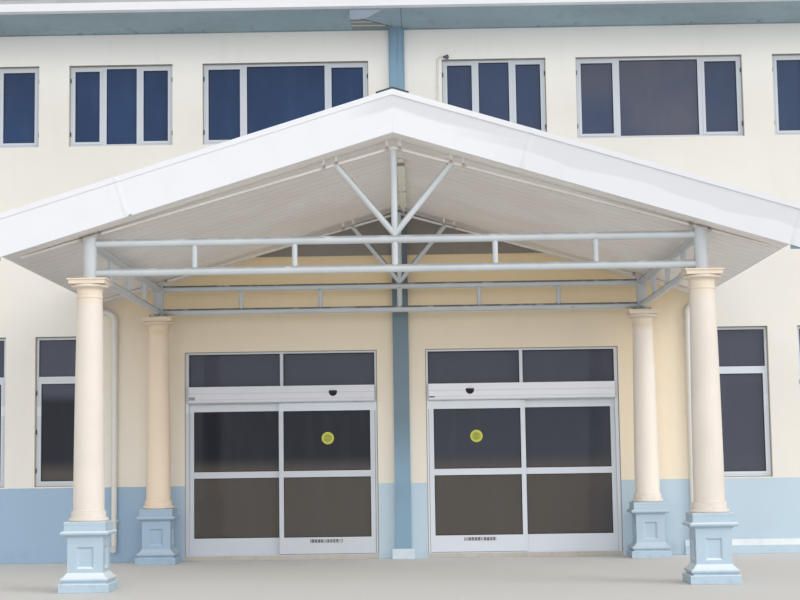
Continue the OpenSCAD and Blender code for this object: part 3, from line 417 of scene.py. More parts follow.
def smooth_paint(f, foot, soiled, gloss=0.5, rear_left_shade=None, neck=None, edges=None):
    """Paint on smooth concrete: soft blotches, faint runs, soil near the foot at that height. Painted
    light and shade are laid on too: the rear right lighter, the rear left and the necks and capitals
    of columns in shades of their own, the tops of mouldings lit paler and faces that look down darker."""
    broad = f.noise(1.6, detail=4)
    f.blotched(broad, 0.96, 1.03)
    rear = f.y.ramp(-3, -1)
    # Painted light: the rear pieces on the right are lighter above 0.9 m.
    f.tint(rear * f.x.ramp(-0.5, 0.5) * f.z.ramp(0.6, 0.9) * 0.8, 1.18)
    # Painted shade: the rear left takes a shade of its own, yellower on columns and deeper blue on plinths.
    f.over(rear * f.x.ramp(0.5, -0.5) * 0.6, rear_left_shade or f.rgb)
    # Painted light: the necks and capitals take the yellower colour of light bounced under the canopy.
    f.over(f.z.ramp(3.05, 3.15) * 0.4, neck or f.rgb)
    # Painted highlight: faces that look up, such as the tops of mouldings, are paler, less so at the rear.
    f.over(f.up.ramp(0.1, 0.7) * (0.85 - rear * 0.6), edges or f.rgb)
    f.tint(f.patches(1, 0.52, 0.8, (12, 12, 0.9), 3) * 0.08, 0.75)
    soil = (f.z - foot).ramp(0.22, 0.0) * f.patches(11, 0.45, 0.75)
    f.tint(soil * 0.3, soiled)
    # Painted shade: faces that look down are darker.
    f.tint(f.under(0.2) * 0.3, 0.55)
    height = f.noise(90, detail=2) * 0.5 + f.noise(22) * 0.5
    return f.done(gloss + broad * 0.2, f.bump(height, 0.0015, 0.4))


def pilaster_paint(f):
    """Blue paint with painted shade: darker towards the roof of the porch, and darker at the sides above
    it, where it also has streaks.
    """
    broad = f.noise(1.6, detail=4)
    f.blotched(broad, 0.95, 1.04)
    f.tint(f.patches(4, 0.45, 0.75, (1, 1, 0.6)) * 0.3, 0.75)
    # Painted shade under the canopy: grey from about a metre up, deeper near the soffit.
    sheltered = f.z.ramp(SOFFIT_TOP + 0.4, SOFFIT_TOP + 0.3)
    porch_shade = (f.z.ramp(1.1, 2.0) * 0.53 + f.z.ramp(3.2, 3.9) * 0.2) * sheltered
    f.over(porch_shade, tone(100, 104, 104))
    streak = f.patches(1, 0.5, 0.75, (30, 1, 1.2), 4)
    # Painted shade on the sides and edges above the canopy, with streaks down the face.
    wear_and_painted_light = abs(f.x).ramp(0.08, 0.11).most(streak) * f.z.ramp(SOFFIT_TOP + 0.4, SOFFIT_TOP + 0.8)
    f.tint(wear_and_painted_light * 0.4, 0.5)
    return f.done(0.5 + broad * 0.2, f.bump(f.noise(90, detail=2), 0.001, 0.4))


def ledge_paint(f, top):
    """Dado blue on the ledges at the foot of the wall, with a painted highlight: pale on top, along
    the upper edge and by the pilaster."""
    # Painted highlight: the ledges are pale where light falls on their tops, along the upper edge on the
    # right and by the pilaster.
    wear_and_painted_light = f.up.ramp(0.3, 0.8).most(abs(f.x).ramp(0.5, 0.3) * 0.4)
    wear_and_painted_light = wear_and_painted_light.most(f.x.ramp(2.0, 2.1) * f.z.ramp(0.112, 0.12))
    soil = f.patches(6, 0.4, 0.8)
    f.over(wear_and_painted_light, top)
    f.tint(soil * 0.2, 0.6)
    return f.done(0.6 + soil * 0.2, f.bump(f.noise(60, detail=2), 0.001, 0.4))


def steel_paint(f, rust):
    """Paint on steel with dust and painted shade on top, darker near the wall, and a few spots where
    rust breaks through."""
    f.blotched(f.noise(2.2), 0.95, 1.04)
    # Dust and painted shade: the tops of the tubes are darker, more so near the wall.
    dust = f.up.ramp(0.2, 0.5) * f.patches(6, 0.2, 0.5, detail=4)
    f.tint(dust * (f.y.ramp(-4.4, -0.9) * 0.4 + 0.5), 0.2)
    spot = f.patches(15, 0.69, 0.76, detail=6)
    f.over(spot * 0.45, rust)
    return f.done(0.38 + spot * 0.4, f.bump(f.noise(45), 0.001, 0.3))


def rafter_paint(f, rust):
    """Paint on the slim rafters, with rust round the cleats, at their places from the ridge."""
    f.blotched(f.noise(2.5), 0.95, 1.04)
    across = abs(f.x)
    at_cleat = across.near(CLEATS[0], 0.05)
    for place in CLEATS[1:]:
        at_cleat = at_cleat.most(across.near(place, 0.045))
    above = f.z + across * RAFTER_FALL - (SOFFIT_TOP - RAFTER_GAP)
    outer = across.ramp(2.0, 3.0)
    foot = above.near(0.0, 0.04).most(outer * above.ramp(-0.02, 0.01))
    rusty = at_cleat * foot * (f.patches(30, 0.3, 0.6) * 0.4 + 0.5)
    f.base = f.mix(rusty, f.base, f.mix(outer, rust, shaded(rust, 0.4)))
    # Painted shade: faces that look down are a little darker.
    f.tint(f.under(0.5) * 0.1, 0.6)
    return f.done(0.45 + rusty * 0.3, f.bump(f.noise(60), 0.001, 0.3))


def sheet_paint(f, gloss=0.35, dirt=0.2):
    """Coating on folded sheet, a little wavy, with thin dirt."""
    wave = f.noise(1.8, detail=2)
    dust = f.patches(5, 0.45, 0.8)
    f.blotched(wave, 0.97, 1.02)
    f.tint(dust * dirt, 0.75)
    return f.done(gloss + dust * 0.2, f.bump(wave, 0.02, 0.2))


def fascia_paint(f):
    """White fascia, greyer over the upper half right of the ridge with painted shade of the capping and
    some staining, with thin runs below the capping and a dark spot on its lower edge."""
    above = f.z + abs(f.x) * FALL - SOFFIT_TOP
    dust = f.patches(4, 0.45, 0.8)
    runs = f.patches(1, 0.55, 0.8, (9, 9, 0.6), 4) * above.ramp(0.1, 0.4)
    wave = above + (f.noise(0.9, detail=2) - 0.5) * 0.2
    # Painted shade of the capping, with some staining: the upper part of the face is greyer right of the
    # ridge and near it.
    grey = (wave.ramp(0.17, 0.2) * f.x.ramp(0.3, 1.8)).most(wave.ramp(0.25, 0.3) * f.x.ramp(-0.6, 0.0))
    f.tint(f.x.ramp(1.6, 0.6), 1.07)
    whiter_face = f.base
    f.tint(grey, 0.9)
    f.base = f.mix(above.ramp(0.405, 0.41), f.base, whiter_face)
    f.tint(dust * 0.07, 0.7)
    f.tint(runs * 0.08, 0.65)
    f.tint(f.x.near(-2.841, 0.03) * above.ramp(0.02, 0.0) * 0.8, 0.15)
    return f.done(0.36 + dust * 0.15, f.bump(f.noise(1.5), 0.015, 0.3))


def soffit_paint(f):
    """Coating under the canopy, dusty in soft patches, with painted shade along the grooves and at
    the left eave."""
    f.blotched(f.noise(0.9, detail=4), 0.95, 1.04)
    f.tint(f.patches(6, 0.42, 0.75, (0.5, 2, 1)) * 0.12, 0.7)
    # Painted shade: darker towards the left eave.
    f.tint(f.x.ramp(-3.3, -4.2) * 0.6, 0.65)
    # Painted shade in the grooves of the soffit, drawn wider than the grooves.
    groove = (f.y - (RIB_FIRST - 0.018)).fold(RIB_PITCH / 2)
    f.tint(groove.ramp(0.03, 0.008) * 0.12, 0.5)
    return f.done(0.5, f.bump(f.noise(2.5, detail=2), 0.01, 0.2))


def eave_paint(f):
    """Blue-grey paint under the building's eave, with smudges, pale patches and mould near the
    wall."""
    broad = f.noise(0.8, detail=4)
    f.blotched(broad, 0.9, 1.1)
    f.tint(f.patches(3.2, 0.55, 0.75, (1, 0.6, 1)) * 0.4, 0.6)
    mould = f.patches(7, 0.6, 0.68, (1, 0.4, 1), 6) * f.y.ramp(-0.5, -0.1)
    f.tint(mould * 0.5, 0.35)
    f.tint(f.patches(9, 0.45, 0.7, (1, 2, 1)) * 0.2, 1.35)
    return f.done(0.65, f.bump(broad, 0.01, 0.2))


def eave_gutter_paint(f, band):
    """White gutter face, grey with painted shade and dirty above that height and inside."""
    dirt = f.patches(3, 0.4, 0.75, (1, 1, 4), 6)
    # Painted shade: the gutter's upper part and inside are grey.
    grey = f.mix(dirt * 0.4, shaded(f.rgb, 0.62), shaded(f.rgb, 0.4))
    white = f.mix(dirt * 0.1, shaded(f.rgb, 1.04), shaded(f.rgb, 0.75))
    f.base = f.mix((f.z - band).ramp(-0.002, 0.002), white, grey)
    return f.done(0.4 + dirt * 0.2, f.bump(f.noise(2), 0.01, 0.2))


def frame_coat(f, metallic=0.0, grooves=()):
    """Powder coat on aluminium with a fine grain and dusty patches. Painted light makes the doors on
    the right and the rails under the covers lighter; painted shade darkens lines at the heights of the
    grooves given and the faces that look down."""
    dust = f.patches(3, 0.45, 0.8)
    f.tint(dust * 0.15, 0.8)
    # Painted light: the doors on the right are lighter.
    f.tint(f.x.ramp(-0.3, 0.4) * f.z.ramp(3.0, 2.9) * 0.7, 1.2)
    # Painted light: the rails under the covers are lighter, against the covers' shade.
    f.tint(f.z.near(2.12, 0.09).ramp(0.0, 0.3) * 0.7, 1.25)
    # Painted shade: a darker line at each groove's height.
    for height in grooves:
        f.tint(f.z.near(height, 0.012) * 0.35, 0.5)
    # Painted shade: faces that look down are darker.
    f.tint(f.under(0.5) * 0.5, 0.45)
    return f.done(0.36 + dust * 0.15, f.bump(f.noise(300, detail=1), 0.0004, 0.3), Metallic=metallic)


def tinted_glass(f, low, over, reflection_top):
    """Dark glass: a sharp gloss over a nearly black body and thin dust. Below that height it carries
    a brownish painted reflection of the road, and over the doors it is paler."""
    dust = f.patches(2.2, 0.45, 0.85, (3, 3, 0.6))
    f.over(f.x.ramp(-0.3, 0.3) * 0.7, over, 0.75)
    # Painted reflection of the road on the lower panes.
    f.over(f.z.ramp(reflection_top, reflection_top - 0.25), low)
    f.over(f.z.ramp(2.2, 2.4).most(f.x.ramp(2.0, 4.4) * 0.8), over)
    f.over(dust * 0.05, (0.2, 0.2, 0.21))
    return f.done(0.03 + dust * 0.06, f.bump(f.noise(1.3), 0.004, 0.12), IOR=1.4)


def upper_glass(f, start, end):
    """Blue glass upstairs; between two places along the wall it is greyer and cloudy."""
    dust = f.patches(2.2, 0.45, 0.85, (3, 3, 0.6))
    f.base = f.mix(f.patches(0.8, 0.35, 0.65, detail=3), shaded(f.rgb, 0.85), shaded(f.rgb, 1.12))
    # Painted reflection: the panes on the right are paler.
    f.over(f.x.ramp(-0.3, 1.0) * 0.5, tone(74, 84, 104))
    f.over(f.x.ramp(1.9, 2.5) * f.x.ramp(4.6, 3.4) * f.z.ramp(6.2, 6.8) * 0.5, tone(98, 97, 104))
    cloud = f.patches(1.4, 0.3, 0.7, detail=3) * 0.6 + 0.4
    cloudy = f.x.ramp(start - 0.01, start) * f.x.ramp(end + 0.01, end)
    middle = f.x.near((start + end) / 2, (end - start) * 0.3).ramp(0.0, 0.2)
    f.over(cloudy * cloud * (middle * 0.75 + 0.25), tone(92, 94, 108))
    f.over(dust * 0.04, (0.25, 0.26, 0.28))
    return f.done(0.04 + dust * 0.06, f.bump(f.noise(1.3), 0.004, 0.12), IOR=1.4)


def plastic(f, rough=0.4):
    """Plain plastic with a slight grain and dust."""
    dust = f.patches(12, 0.45, 0.8, detail=4)
    f.tint(dust * 0.15, 0.75)
    return f.done(rough + dust * 0.2, f.bump(f.noise(200, detail=1), 0.0005, 0.3))


def disc_print(f, sizes):
    """Printed disc: a bright rim round a duller field with two plain bars across it."""
    radius = sizes.disc / 2
    aside = abs(f.x) - sizes.disc_side
    rise = f.z - sizes.disc_height
    out = (aside * aside + rise * rise) ** 0.5
    f.tint(out.ramp(radius * 0.72, radius * 0.66) * 0.75, 0.55)
    bars = abs(rise).near(radius * 0.28, radius * 0.16) * out.ramp(radius * 0.6, radius * 0.5)
    f.tint(bars * 0.55, 0.3)
    fade = f.patches(22, 0.4, 0.8, detail=3)
    f.over(fade * 0.15, (0.6, 0.6, 0.5))
    return f.done(0.35 + fade * 0.2)


def bar_print(f, dark):
    """Pale strip with plain dark bars across it."""
    bars = f.x.fold(0.021).ramp(0.016, 0.012).least(f.x.fold(0.11).ramp(0.012, 0.02))
    wear_and_painted_light = f.patches(40, 0.35, 0.7, detail=3)
    f.over(bars * (wear_and_painted_light * 0.5 + 0.5), dark)
    return f.done(0.45 + wear_and_painted_light * 0.15)


def make_finishes(c, sizes):
    """The finish of every material slot of the part and of the added fittings, each from the
    function that makes it, its plain colour and what else the function is given."""
    gutter_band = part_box("eave_gutter")[0][2] + 0.108
    recipes = {
        "render_cream": (render_paint, c.wall, c),
        # Painted light on columns and plinths: the colours of the rear left shade, of the capitals and of
        # the lit tops of mouldings.
        "column_cream": (smooth_paint, c.column, 0.742, 0.6, 0.5, tone(246, 222, 190), tone(240, 216, 182)),
        "plinth_blue": (smooth_paint, c.plinth, 0.0, 0.5, 0.5, tone(150, 176, 202), None,
                        tone(240, 248, 252)),
        "pilaster_blue": (pilaster_paint, c.pilaster),
        # Painted highlight: the pale colour of the lit tops of the ledges.
        "base_ledges": (ledge_paint, c.dado, tone(236, 243, 246)),
        "concrete": (smooth_paint, c.concrete, 0.0, 0.6, 0.8),
        "steel_paint": (steel_paint, c.steel, c.rust),
        "rafter_white": (rafter_paint, c.rafter, c.rust),
        "white_sheet": (fascia_paint, c.sheet),
        "soffit_sheet": (soffit_paint, c.soffit),
        "eave_board": (eave_paint, c.eave),
        "eave_gutter": (eave_gutter_paint, c.sheet, gutter_band),
        "roof_sheet": (sheet_paint, c.roof, 0.45, 0.4),
        "ridge_cap": (sheet_paint, c.cap, 0.4, 0.3),
        "gutter_blue": (sheet_paint, c.gutter),
        "frame_aluminium": (frame_coat, c.aluminium),
        "cover_grey": (frame_coat, c.cover, 0.1, (2.235, 2.32)),
        "tinted_glass": (tinted_glass, c.glass_low, c.glass_road_reflection, c.glass_over, 1.45),
        "upper_glass": (upper_glass, c.glass_high, 2.5, 5.0),
        "sensor_black": (plastic, c.sensor, 0.2),
        "dark_panel": (plastic, c.panel, 0.7),
        "light_diffuser": (plastic, c.lens),
        "pipe_white": (plastic, c.pipe),
        "rubber": (plastic, c.rubber, 0.6),
        "hinge": (plastic, tone(70, 72, 78), 0.5),
        "mastic": (plastic, c.mastic, 0.8),
        "fixings": (steel_paint, shaded(c.steel, 0.8), c.rust),
        "rusty_beads": (steel_paint, shaded(c.steel, 0.9), c.rust),
        "label": (plastic, tone(96, 98, 102), 0.4),
        "bars": (bar_print, tone(176, 180, 186), tone(52, 54, 60)),
        "plate": (plastic, tone(150, 152, 156), 0.4),
        "conduit": (plastic, shaded(c.wall, 0.97), 0.5),
        "torn_sheet": (plastic, tone(190, 204, 222), 0.5),
        "void": (plastic, tone(138, 148, 146), 0.8),
        "disc": (disc_print, c.disc, sizes),
    }
    return {name: make(Finish(name, rgb), *others) for name, (make, rgb, *others) in recipes.items()}


FINISHES = {}
# Nodes whose finish differs from the one of their slot
OTHER_FINISH = {"upper_window_glass": "upper_glass", "eave_gutter": "eave_gutter",
                "ridge_cap": "ridge_cap", "base_ledges": "base_ledges"}
# Directions: up, down, out of the wall, into the building and to the right
ORIGIN, UP, DOWN = (0, 0, 0), (0, 0, 1), (0, 0, -1)
OUT, IN, RIGHT = (0, -1, 0), (0, 1, 0), (1, 0, 0)
# Axes of a form that stands out of the wall, and of one that lies along it
OUTWARD = (RIGHT, UP, OUT)
ALONG = (IN, UP, RIGHT)


def floats(values):
    """Array of the values."""
    return np.asarray(values, dtype=float)


class Form:
    """Surface as points and faces: every face is a run of corners, its length in sizes."""

    def __init__(self, points, corners, sizes):
        self.points = floats(points)
        self.corners = np.asarray(corners, dtype=np.int64)
        self.sizes = np.asarray(sizes, dtype=np.int64)

    def mirrored(self):
        """The same form on the other side of the centre line."""
        return Form(self.points * (-1, 1, 1), self.corners, self.sizes)

    def turned(self, rows, origin=ORIGIN):
        """The form with its axes laid along the rows given and moved to the origin given."""
        return Form(self.points @ floats(rows) + origin, self.corners, self.sizes)

    def at(self, places):
        """Copies of the form at all places, as one form."""
        places = np.atleast_2d(floats(places))
        shift = np.arange(len(places))[:, None] * len(self.points)
        return Form((self.points[None] + places[:, None]).reshape(-1, 3),
                    (self.corners[None] + shift).ravel(), np.tile(self.sizes, len(places)))


def joined(forms):
    """Several forms as one."""
    counts = [len(form.points) for form in forms]
    starts = np.concatenate([[0], np.cumsum(counts)[:-1]]).astype(np.int64)
    return Form(np.concatenate([form.points for form in forms]),
                np.concatenate([form.corners + start for form, start in zip(forms, starts)]),
                np.concatenate([form.sizes for form in forms]))


def both(forms):
    """The forms and their mirror images."""
    one = joined(forms)
    return [one, one.mirrored()]


def surface(points, closed=False, capped=False):
    """Surface through a grid of points, whose rows are closed rings: four-cornered faces between
    neighbours, back to the first row where closed, with flat end faces where capped."""
    rows, columns = points.shape[:2]
    index = np.arange(rows * columns).reshape(rows, columns)
    grid = np.vstack([index, index[:1]]) if closed else index
    grid = np.hstack([grid, grid[:, :1]])
    quads = np.stack([grid[:-1, :-1], grid[:-1, 1:], grid[1:, 1:], grid[1:, :-1]], axis=-1)
    corners, sizes = quads.ravel(), np.full(quads.size // 4, 4)
    if capped:
        corners = np.concatenate([corners, index[0, ::-1], index[-1]])
        sizes = np.concatenate([sizes, [columns, columns]])
    return Form(points.reshape(-1, 3), corners, sizes)


def unit(vectors):
    """Vectors made one long."""
    return vectors / np.linalg.norm(vectors, axis=-1, keepdims=True)


def carried(profile, path, across, closed=False):
    """Profile carried along a path with mitred corners. A profile point (a, b) stands a to
    the side of the path, which is across turned onto the path, and b along across."""
    profile, path, across = floats(profile), floats(path), floats(across)
    if closed:
        ahead = unit(np.roll(path, -1, axis=0) - path)
        behind = np.roll(ahead, 1, axis=0)
    else:
        steps = unit(np.diff(path, axis=0))
        ahead = np.vstack([steps, steps[-1:]])
        behind = np.vstack([steps[:1], steps])
    side = unit(np.cross(across, ahead + behind))
    turn = (ahead * behind).sum(axis=1)
    stretch = 1 / np.sqrt((1 + turn) / 2)
    points = (path[:, None] + side[:, None] * stretch[:, None, None] * profile[None, :, :1]
              + across * profile[None, :, 1:])
    return surface(points, closed, capped=not closed)


def band(inner, outer, half):
    """Profile of a flat band that lies from inner to outer beside its path, twice half wide."""
    return [(inner, -half), (outer, -half), (outer, half), (inner, half)]


def arc(radius, start, end, count):
    """Points round an arc about the origin, between two angles in degrees."""
    turn = np.radians(np.linspace(start, end, count))
    return np.stack([np.cos(turn), np.sin(turn)], axis=1) * radius


def circle(radius, sides):
    """Points round a circle: an arc that stops one side short of a full turn."""
    return arc(radius, 0, 360 - 360 / sides, sides)


def lathe(profile, centre=ORIGIN, axis=UP, sides=20, closed=False):
    """Profile of (radius, height) points turned about an axis through the centre."""
    profile, axis = floats(profile), unit(floats(axis))
    first = unit(np.cross(axis, (0.3, 0.5, 0.8)))
    spokes = circle(1, sides) @ np.stack([first, np.cross(axis, first)])
    points = floats(centre) + profile[:, None, :1] * spokes + profile[:, None, 1:] * axis
    return surface(points, closed)


def pad(low, high, edge=0.001):
    """Block with rounded edges: the points of a ball, pushed apart along each axis, so that its
    eighths stand in the corners and flat faces span between them."""
    low, high = floats(low), floats(high)
    edge = min(edge, (high - low).min() / 2.2)
    turn = np.radians(np.add.outer(np.arange(4) * 90, (0, 45, 90)).ravel())
    rise = np.radians([-90, -45, 0, 0, 45, 90])
    ball = np.stack([np.outer(np.cos(rise), np.cos(turn)), np.outer(np.cos(rise), np.sin(turn)),
                     np.outer(np.sin(rise), np.ones(12))], axis=-1)
    x_side = np.repeat([1, -1, -1, 1], 3)
    y_side = np.repeat([1, 1, -1, -1], 3)
    z_side = np.repeat([-1, 1], 3)[:, None]
    side = np.stack(np.broadcast_arrays(x_side, y_side, z_side), axis=-1)
    return surface((low + high) / 2 + side * ((high - low) / 2 - edge) + ball * edge, capped=True)


def plate(outline, low, high):
    """Flat plate on an outline in X and Y, from low to high."""
    rings = [np.column_stack([outline, np.full(len(outline), z)]) for z in (low, high)]
    return surface(np.stack(rings), capped=True)


def bolt(radius, height, washer=1.6):
    """Hexagon head with a chamfer on a round washer, standing up from the origin."""
    thin, rim = height * 0.3, radius * washer
    ring = [(0, 0), (rim, 0), (rim, thin * 0.7), (rim * 0.94, thin), (0, thin)]
    head = [(0, thin), (radius, thin), (radius, height * 0.85), (radius * 0.85, height), (0, height)]
    return joined([lathe(ring, sides=14), lathe(head, sides=6)])


def weld(place, bar, tube, bar_r, tube_r, bead):
    """Bead along the saddle curve where a round bar meets a round tube: round the bar, each point
    is slid along it until it lies on the tube. The place is on the axes of both."""
    bar, tube = unit(floats(bar)), unit(floats(tube))
    slant = float(bar @ tube)
    across = unit(bar - slant * tube)
    steep = float(bar @ across)
    turn = circle(1, 28)
    lean, aside = (turn * bar_r).T
    slide = (np.sqrt(np.maximum(tube_r ** 2 - aside ** 2, 0)) - lean * slant) / steep
    out = turn @ np.stack([across * slant - tube * steep, np.cross(tube, across)])
    line = floats(place) + out * bar_r + slide[:, None] * bar
    ring = circle(bead, 6)
    points = line[:, None] + out[:, None] * ring[None, :, :1] + bar * ring[None, :, 1:]
    return surface(points, closed=True)


def make_piece(name, forms, finish, body="front"):
    """Makes one object of the forms: doubles merged, faces turned outwards, smooth but for
    sharp edges, in a finish and riding on a body."""
    form = joined(forms)
    mesh = bpy.data.meshes.new(name)
    mesh.vertices.add(len(form.points))
    mesh.vertices.foreach_set("co", form.points.ravel())
    mesh.loops.add(len(form.corners))
    mesh.loops.foreach_set("vertex_index", form.corners.astype(np.int32))
    mesh.polygons.add(len(form.sizes))
    starts = np.concatenate([[0], np.cumsum(form.sizes)[:-1]])
    mesh.polygons.foreach_set("loop_start", starts.astype(np.int32))
    mesh.update(calc_edges=True)
    work = bmesh.new()
    work.from_mesh(mesh)
    bmesh.ops.remove_doubles(work, verts=work.verts, dist=2e-6)
    bmesh.ops.dissolve_degenerate(work, edges=work.edges, dist=1e-6)
    bmesh.ops.recalc_face_normals(work, faces=work.faces)
    work.to_mesh(mesh)
    work.free()
    mesh.shade_smooth()
    mesh.set_sharp_from_angle(angle=math.radians(32))
    mesh.materials.append(FINISHES[finish])
    piece = bpy.data.objects.new(name, mesh)
    bpy.context.scene.collection.objects.link(piece)
    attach(piece, body)


def make_pair(name, form, finish):
    """Makes a piece on the right sliding leaf and its mirror image on the left one."""
    make_piece(f"right_{name}", [form], finish, "right_leaf")
    make_piece(f"left_{name}", [form.mirrored()], finish, "left_leaf")


def rim(low, high, y):
    """Corners of an upright rectangle at that depth, in turn from the lower left one."""
    return [(low[0], y, low[2]), (high[0], y, low[2]), (high[0], y, high[2]), (low[0], y, high[2])]


class ENTRANCE_OT_finishes(bpy.types.Operator):
    """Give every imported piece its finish"""

    bl_idname = "entrance.finishes"
    bl_label = "Finishes"

    def execute(self, context):
        FINISHES.update(make_finishes(context.scene.entrance_colours, context.scene.entrance_sizes))
        for name, node in frame["nodes"].items():
            material = FINISHES[OTHER_FINISH.get(name, SLOTS[name])]
            if not node.material_slots:
                node.data.materials.append(material)
            for holder in node.material_slots:
                holder.material = material
        return {"FINISHED"}


class ENTRANCE_OT_gaskets(bpy.types.Operator):
    """Rubber gaskets round the panes of windows and doors, each set riding with its leaf"""

    bl_idname = "entrance.gaskets"
    bl_label = "Gaskets"

    def execute(self, context):
        width, proud = context.scene.entrance_sizes.gasket, 0.007
        bead = floats([(0, -0.001), (1, -0.001), (0.95, 0.35), (0.7, 0.75), (0.3, 0.95), (0, 1)])
        bead = bead * (width, proud)
        for panes, body in (("upper_window", "front"), ("ground_window", "front"), ("fixed", "front"),
                            ("left_sliding", "left_leaf"), ("right_sliding", "right_leaf")):
            forms = []
            for low, high in solids(f"{panes}_glass"):
                forms.append(carried(bead, rim(low, high, low[1]), OUT, closed=True))
                forms.append(carried(bead, rim(low, high, high[1])[::-1], IN, closed=True))
            make_piece(f"{panes}_gaskets", forms, "rubber", body)
        return {"FINISHED"}


class ENTRANCE_OT_frame_joints(bpy.types.Operator):
    """Mastic joints between the wall and the frames of windows and door sets, dark so as to paint the
    shadow line round the frames as well
    """

    bl_idname = "entrance.frame_joints"
    bl_label = "Frame joints"

    def execute(self, context):
        width = context.scene.entrance_sizes.joint
        bead = floats([(0, 0), (1, 0), (0.8, 0.25), (0.3, 0.5), (0, 0.6)]) * width
        windows = solids("upper_window_frames") + solids("ground_window_frames")
        forms = [carried(bead, rim(low, high, high[1] - WINDOW_DEPTH), OUT, closed=True)
                 for low, high in windows]
        make_piece("window_joints", forms, "mastic")
        forms = []
        for node in ("left_door_frame", "right_door_frame"):
            low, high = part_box(node)
            corners = rim(low, high, low[1])
            forms.append(carried(bead, corners[1:] + corners[:1], OUT))
        make_piece("door_joints", forms, "mastic")
        return {"FINISHED"}


class ENTRANCE_OT_window_hinges(bpy.types.Operator):
    """Hinges at the outer edges of the upper windows' side sashes and at the left edges of
    the ground windows' casements"""

    bl_idname = "entrance.window_hinges"
    bl_label = "Window hinges"

    def execute(self, context):
        tall = context.scene.entrance_sizes.hinge
        radius, wing, from_edge = 0.006, 0.014, 0.007
        from_head, from_sill = 0.175, 0.155
        rises = (0.19, 0.73, 1.28)
        places = [(x, inward, high[1], z) for low, high in solids("upper_window_frames")
                  for x, inward in ((low[0], 1), (high[0], -1))
                  for z in (high[2] - from_head - tall, low[2] + from_sill)]
        places += [(low[0], 1, high[1], low[2] + rise)
                   for low, high in solids("ground_window_frames") for rise in rises]
        neck = radius * 0.8
        profile = [(0, 0), (neck, 0), (radius, 0.001), (radius, tall * 0.48), (neck, tall * 0.5),
                   (radius, tall * 0.52), (radius, tall - 0.001), (neck, tall), (0, tall)]
        forms = []
        for x, inward, back, z in places:
            face = back - WINDOW_DEPTH
            axis_x = x + inward * from_edge
            forms.append(lathe(profile, (axis_x, face - neck, z), UP, 10))
            left, right = sorted((axis_x, axis_x + inward * wing))
            forms.append(pad((left, face - 0.0105, z + 0.004), (right, face - 0.0005, z + tall - 0.004)))
        make_piece("window_hinges", forms, "hinge")
        return {"FINISHED"}


class ENTRANCE_OT_door_seals(bpy.types.Operator):
    """Brush strips that close the gaps round the sliding leaves, and end plates of the covers"""

    bl_idname = "entrance.door_seals"
    bl_label = "Door seals"

    def execute(self, context):
        low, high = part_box("right_sliding_leaf")
        top = solids("right_sliding_glass")[-1][1][2]
        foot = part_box("right_door_frame")[0][2] + 0.01
        front, back, clear, inset = low[1] + 0.014, low[1] + 0.026, 0.0015, 0.004
        upright = pad((low[0] - 0.008, front, foot), (low[0] - clear, back, top))
        behind = pad((high[0] - 0.04, high[1] + clear, foot), (high[0] - 0.03, high[1] + 0.014, top))
        make_piece("jamb_brushes", both([upright, behind]), "rubber")
        sweep = pad((low[0] + inset, front, foot + 0.001), (high[0] - inset, back, low[2] + 0.002), 0.0008)
        make_pair("leaf_sweep", sweep, "rubber")
        low, high = solids("operator_covers")[1]
        nose_r, proud, wall_y = 0.04, 0.0015, 0.019
        nose = low[1:] + nose_r + arc(nose_r, 180, 270, 9)
        section = np.vstack([[low[1], high[2]], nose, [wall_y, low[2]], [wall_y, high[2]]]) - (proud, 0)
        caps = [plate(section, x, x + 0.003).turned(ALONG) for x in (low[0] - 0.0005, high[0] - 0.0025)]
        make_piece("cover_ends", both(caps), "plate")
        return {"FINISHED"}


class ENTRANCE_OT_door_labels(bpy.types.Operator):
    """Bare discs on the glass and bare strips on rails and covers"""

    bl_idname = "entrance.door_labels"
    bl_label = "Discs and bare strips"

    def execute(self, context):
        sizes = context.scene.entrance_sizes
        glass_y = solids("right_sliding_glass")[0][0][1]
        r = sizes.disc / 2
        profile = [(0, 0), (r, 0), (r, 0.0004), (r * 0.985, 0.0008), (0, 0.0008)]
        disc = lathe(profile, (sizes.disc_side, glass_y, sizes.disc_height), OUT, 48)
        make_pair("safety_disc", disc, "disc")
        rail_y, half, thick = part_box("right_sliding_leaf")[0][1], 0.024, 0.0012
        bottom, top = sizes.label_height - half, sizes.label_height + half
        for side, x0, x1 in (("right", 0.845, 1.29), ("left", -1.30, -0.845)):
            strip = pad((x0, rail_y - thick, bottom), (x1, rail_y, top), 0.0005)
            make_piece(f"{side}_rail_strip", [strip], "bars", f"{side}_leaf")
        covers = solids("operator_covers")
        low = covers[0][0] + (0.01, -0.0012, 0.05)
        make_piece("cover_plate", [pad(low, low + (0.085, 0.0012, 0.045), 0.0005)], "plate")
        low = covers[1][0] + (0.012, -0.0015, 0.044)
        make_piece("cover_switch", [pad(low, low + (0.075, 0.0015, 0.016), 0.0006)], "rubber")
        return {"FINISHED"}


